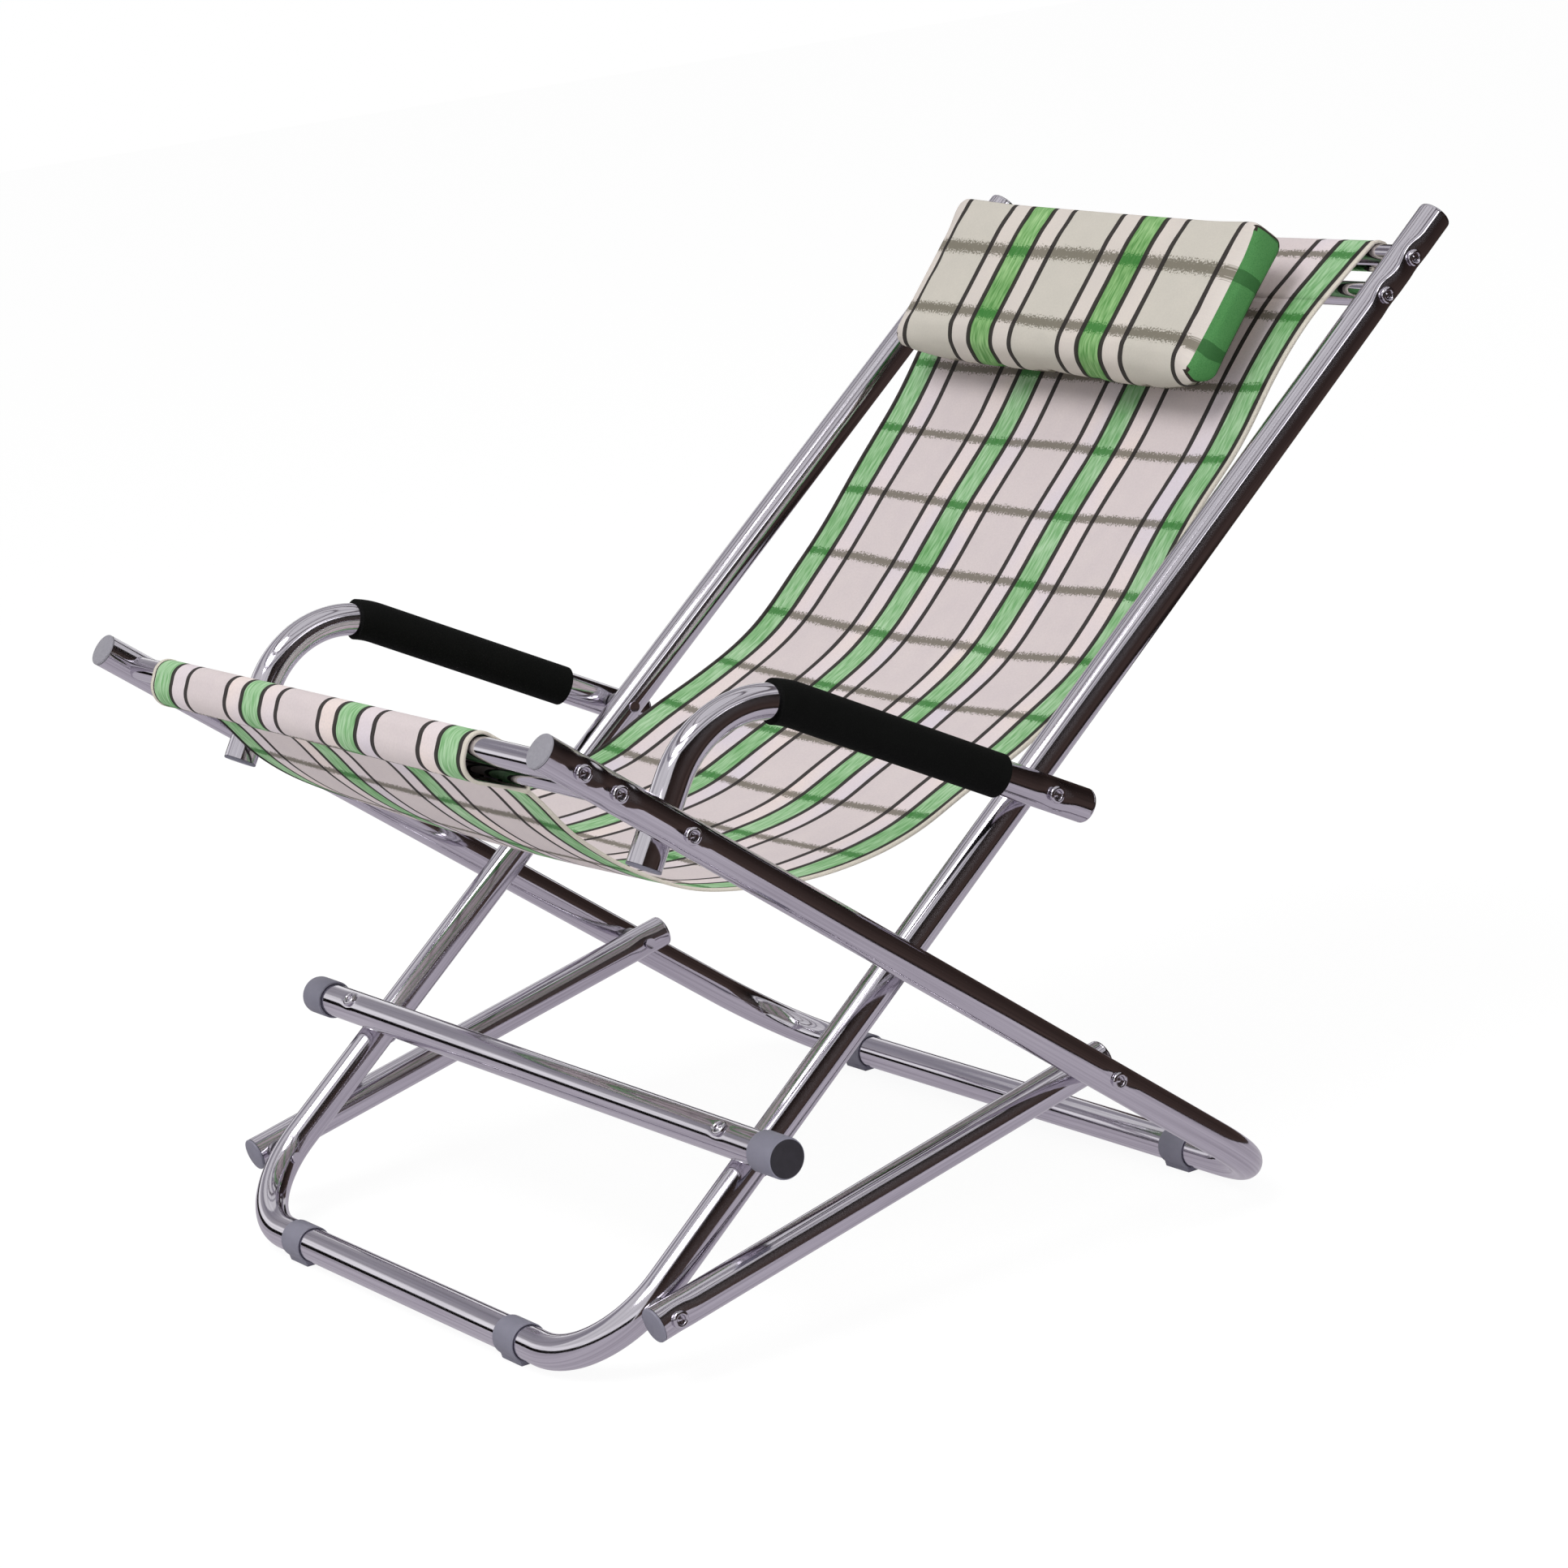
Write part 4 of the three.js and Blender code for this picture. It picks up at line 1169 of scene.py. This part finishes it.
# Studio: a plain pale floor, a white surround, broad soft lamps, and dark and bright
# boards that only the metal mirrors.
def bare_paint(name):
    """A material with an empty tree, and a wire to start its nodes with."""
    paint = bpy.data.materials.new(name)
    paint.use_nodes = True
    paint.node_tree.nodes.clear()
    return paint, Wire(paint.node_tree)


def ray_kinds(tree):
    """Which rays come from the camera, and which off something shiny."""
    rays = tree.nodes.new("ShaderNodeLightPath").outputs
    return Wire(tree, rays["Is Camera Ray"]), Wire(tree, rays["Is Glossy Ray"])


floor_mesh = bpy.data.meshes.new("floor")
floor_mesh.from_pydata([(-12, -12, 0), (12, -12, 0), (12, 12, 0), (-12, 12, 0)], [], [(0, 1, 2, 3)])
floor = new_object("floor", floor_mesh)
floor_paint, start = bare_paint("floor_paint")
seen, mirrored = ray_kinds(start.tree)
paint = start.node("ShaderNodeBsdfDiffuse", None, {"Color": (0.85, 0.85, 0.85, 1)})
white = mixed(mirrored, (1, 1, 1, 1), (0.48, 0.45, 0.50, 1))
glow = start.node("ShaderNodeEmission", None, {"Color": white, "Strength": 1.05})
share = seen.calc("MAXIMUM", seen, mirrored) * 0.88
blend = start.node("ShaderNodeMixShader", None, {0: share, 1: paint, 2: glow})
result = start.tree.nodes.new("ShaderNodeOutputMaterial")
feed(blend, result.inputs["Surface"])
floor_mesh.materials.append(floor_paint)
floor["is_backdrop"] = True

world = bpy.data.worlds.new("white_surround")
scene.world = world
world.use_nodes = True
tree = world.node_tree
seen, mirrored = ray_kinds(tree)
strength = 0.60 + seen * 0.40 + mirrored * 0.16
surround = tree.nodes["Background"].inputs
surround["Color"].default_value = (1, 1, 1, 1)
feed(strength, surround["Strength"])


def lamp(name, spot, aim, size, power):
    data = bpy.data.lights.new(name, "AREA")
    data.shape = "DISK"
    data.size = size
    data.energy = power
    obj = new_object(name, data)
    obj.location = spot
    obj.rotation_mode = "QUATERNION"
    obj.rotation_quaternion = (Vector(aim) - Vector(spot)).to_track_quat("-Z", "Y")


lamp("key_lamp", (0.7, -2.9, 4.8), (0, 0, 0.35), 3.0, 142)
lamp("fill_lamp", (3.2, 0.6, 1.6), (0, 0, 0.35), 2.4, 30)


def board(name, from_azimuth, to_azimuth, low, high, reach, foot, head):
    """A curved board round the studio that only mirrors see, shaded from its foot up.

    reach is how far its foot and its head are from the middle of the floor."""
    paint, start = bare_paint(name + "_paint")
    rise = (on_object(start).parts()[2] - low) / (high - low)
    glow = start.node("ShaderNodeEmission", None, {"Color": mixed(rise, foot, head)})
    result = start.tree.nodes.new("ShaderNodeOutputMaterial")
    feed(glow, result.inputs["Surface"])
    points = []
    faces = []
    count = 24
    for i in range(count + 1):
        a = math.radians(from_azimuth + (to_azimuth - from_azimuth) * i / count)
        for radius, z in zip(reach, (low, high)):
            points.append((radius * math.sin(a), -radius * math.cos(a), z))
        if i:
            faces.append((2 * i - 2, 2 * i, 2 * i + 1, 2 * i - 1))
    made = bpy.data.meshes.new(name)
    made.from_pydata(points, [], faces)
    made.materials.append(paint)
    obj = new_object(name, made)
    obj.visible_camera = False
    obj.visible_diffuse = False
    obj.visible_shadow = False
    obj.visible_transmission = False
    obj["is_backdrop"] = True


BROWN = (0.070, 0.048, 0.041, 1)
BLACK = (0.003, 0.002, 0.002, 1)
GREY = (0.26, 0.25, 0.29, 1)
SILVER = (0.46, 0.45, 0.47, 1)
WHITE = (1.0, 1.0, 1.0, 1)
board("dark_floor", 90, 215, 0.002, 0.010, (0.8, 1.2), BLACK, BROWN)
board("dark_wall", 46, 224, 0.0, 1.18, (1.2, 1.2), BROWN, BLACK)
board("dark_rail", 224, 406, 0.03, 0.60, (3.4, 3.4), BLACK, BLACK)
board("bright_rail", 224, 406, 0.64, 1.30, (3.4, 3.4), WHITE, WHITE)
board("grey_rail", 224, 316, 1.45, 2.60, (3.4, 3.4), SILVER, GREY)
board("grey_band_low", 0, 360, 1.30, 1.42, (1.2, 1.2), GREY, GREY)
board("grey_band_mid", 0, 360, 1.75, 2.05, (1.2, 1.2), GREY, BROWN)
board("grey_band_high", 0, 360, 2.9, 3.3, (1.0, 1.0), BROWN, GREY)

# Camera: a long lens low at the chair's left front, tilted a little to one side.
LENS = 101.24
CAMERA_FROM_LINE = Vector((2.7208666, -1.7056768, 1.0176812))
camera_data = bpy.data.cameras.new("camera")
camera_data.sensor_width = 36
camera_data.lens = LENS
camera = new_object("camera", camera_data)
azimuth, elevation, tilt = 1.01336567, 0.222936408, -0.12027884
backward = Vector((
    math.sin(azimuth) * math.cos(elevation),
    -math.cos(azimuth) * math.cos(elevation),
    math.sin(elevation),
))
level = Vector((math.cos(azimuth), math.sin(azimuth), 0))
upright = backward.cross(level)
across = level * math.cos(tilt) + upright * math.sin(tilt)
up = upright * math.cos(tilt) - level * math.sin(tilt)
turn = Matrix((across, up, backward)).transposed().to_4x4()
camera_spot = Vector((0, ORIGIN_Y, ORIGIN_Z)) + CAMERA_FROM_LINE
camera.matrix_world = Matrix.Translation(camera_spot) @ turn
scene.camera = camera
scene.view_settings.view_transform = "Standard"

low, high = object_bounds()
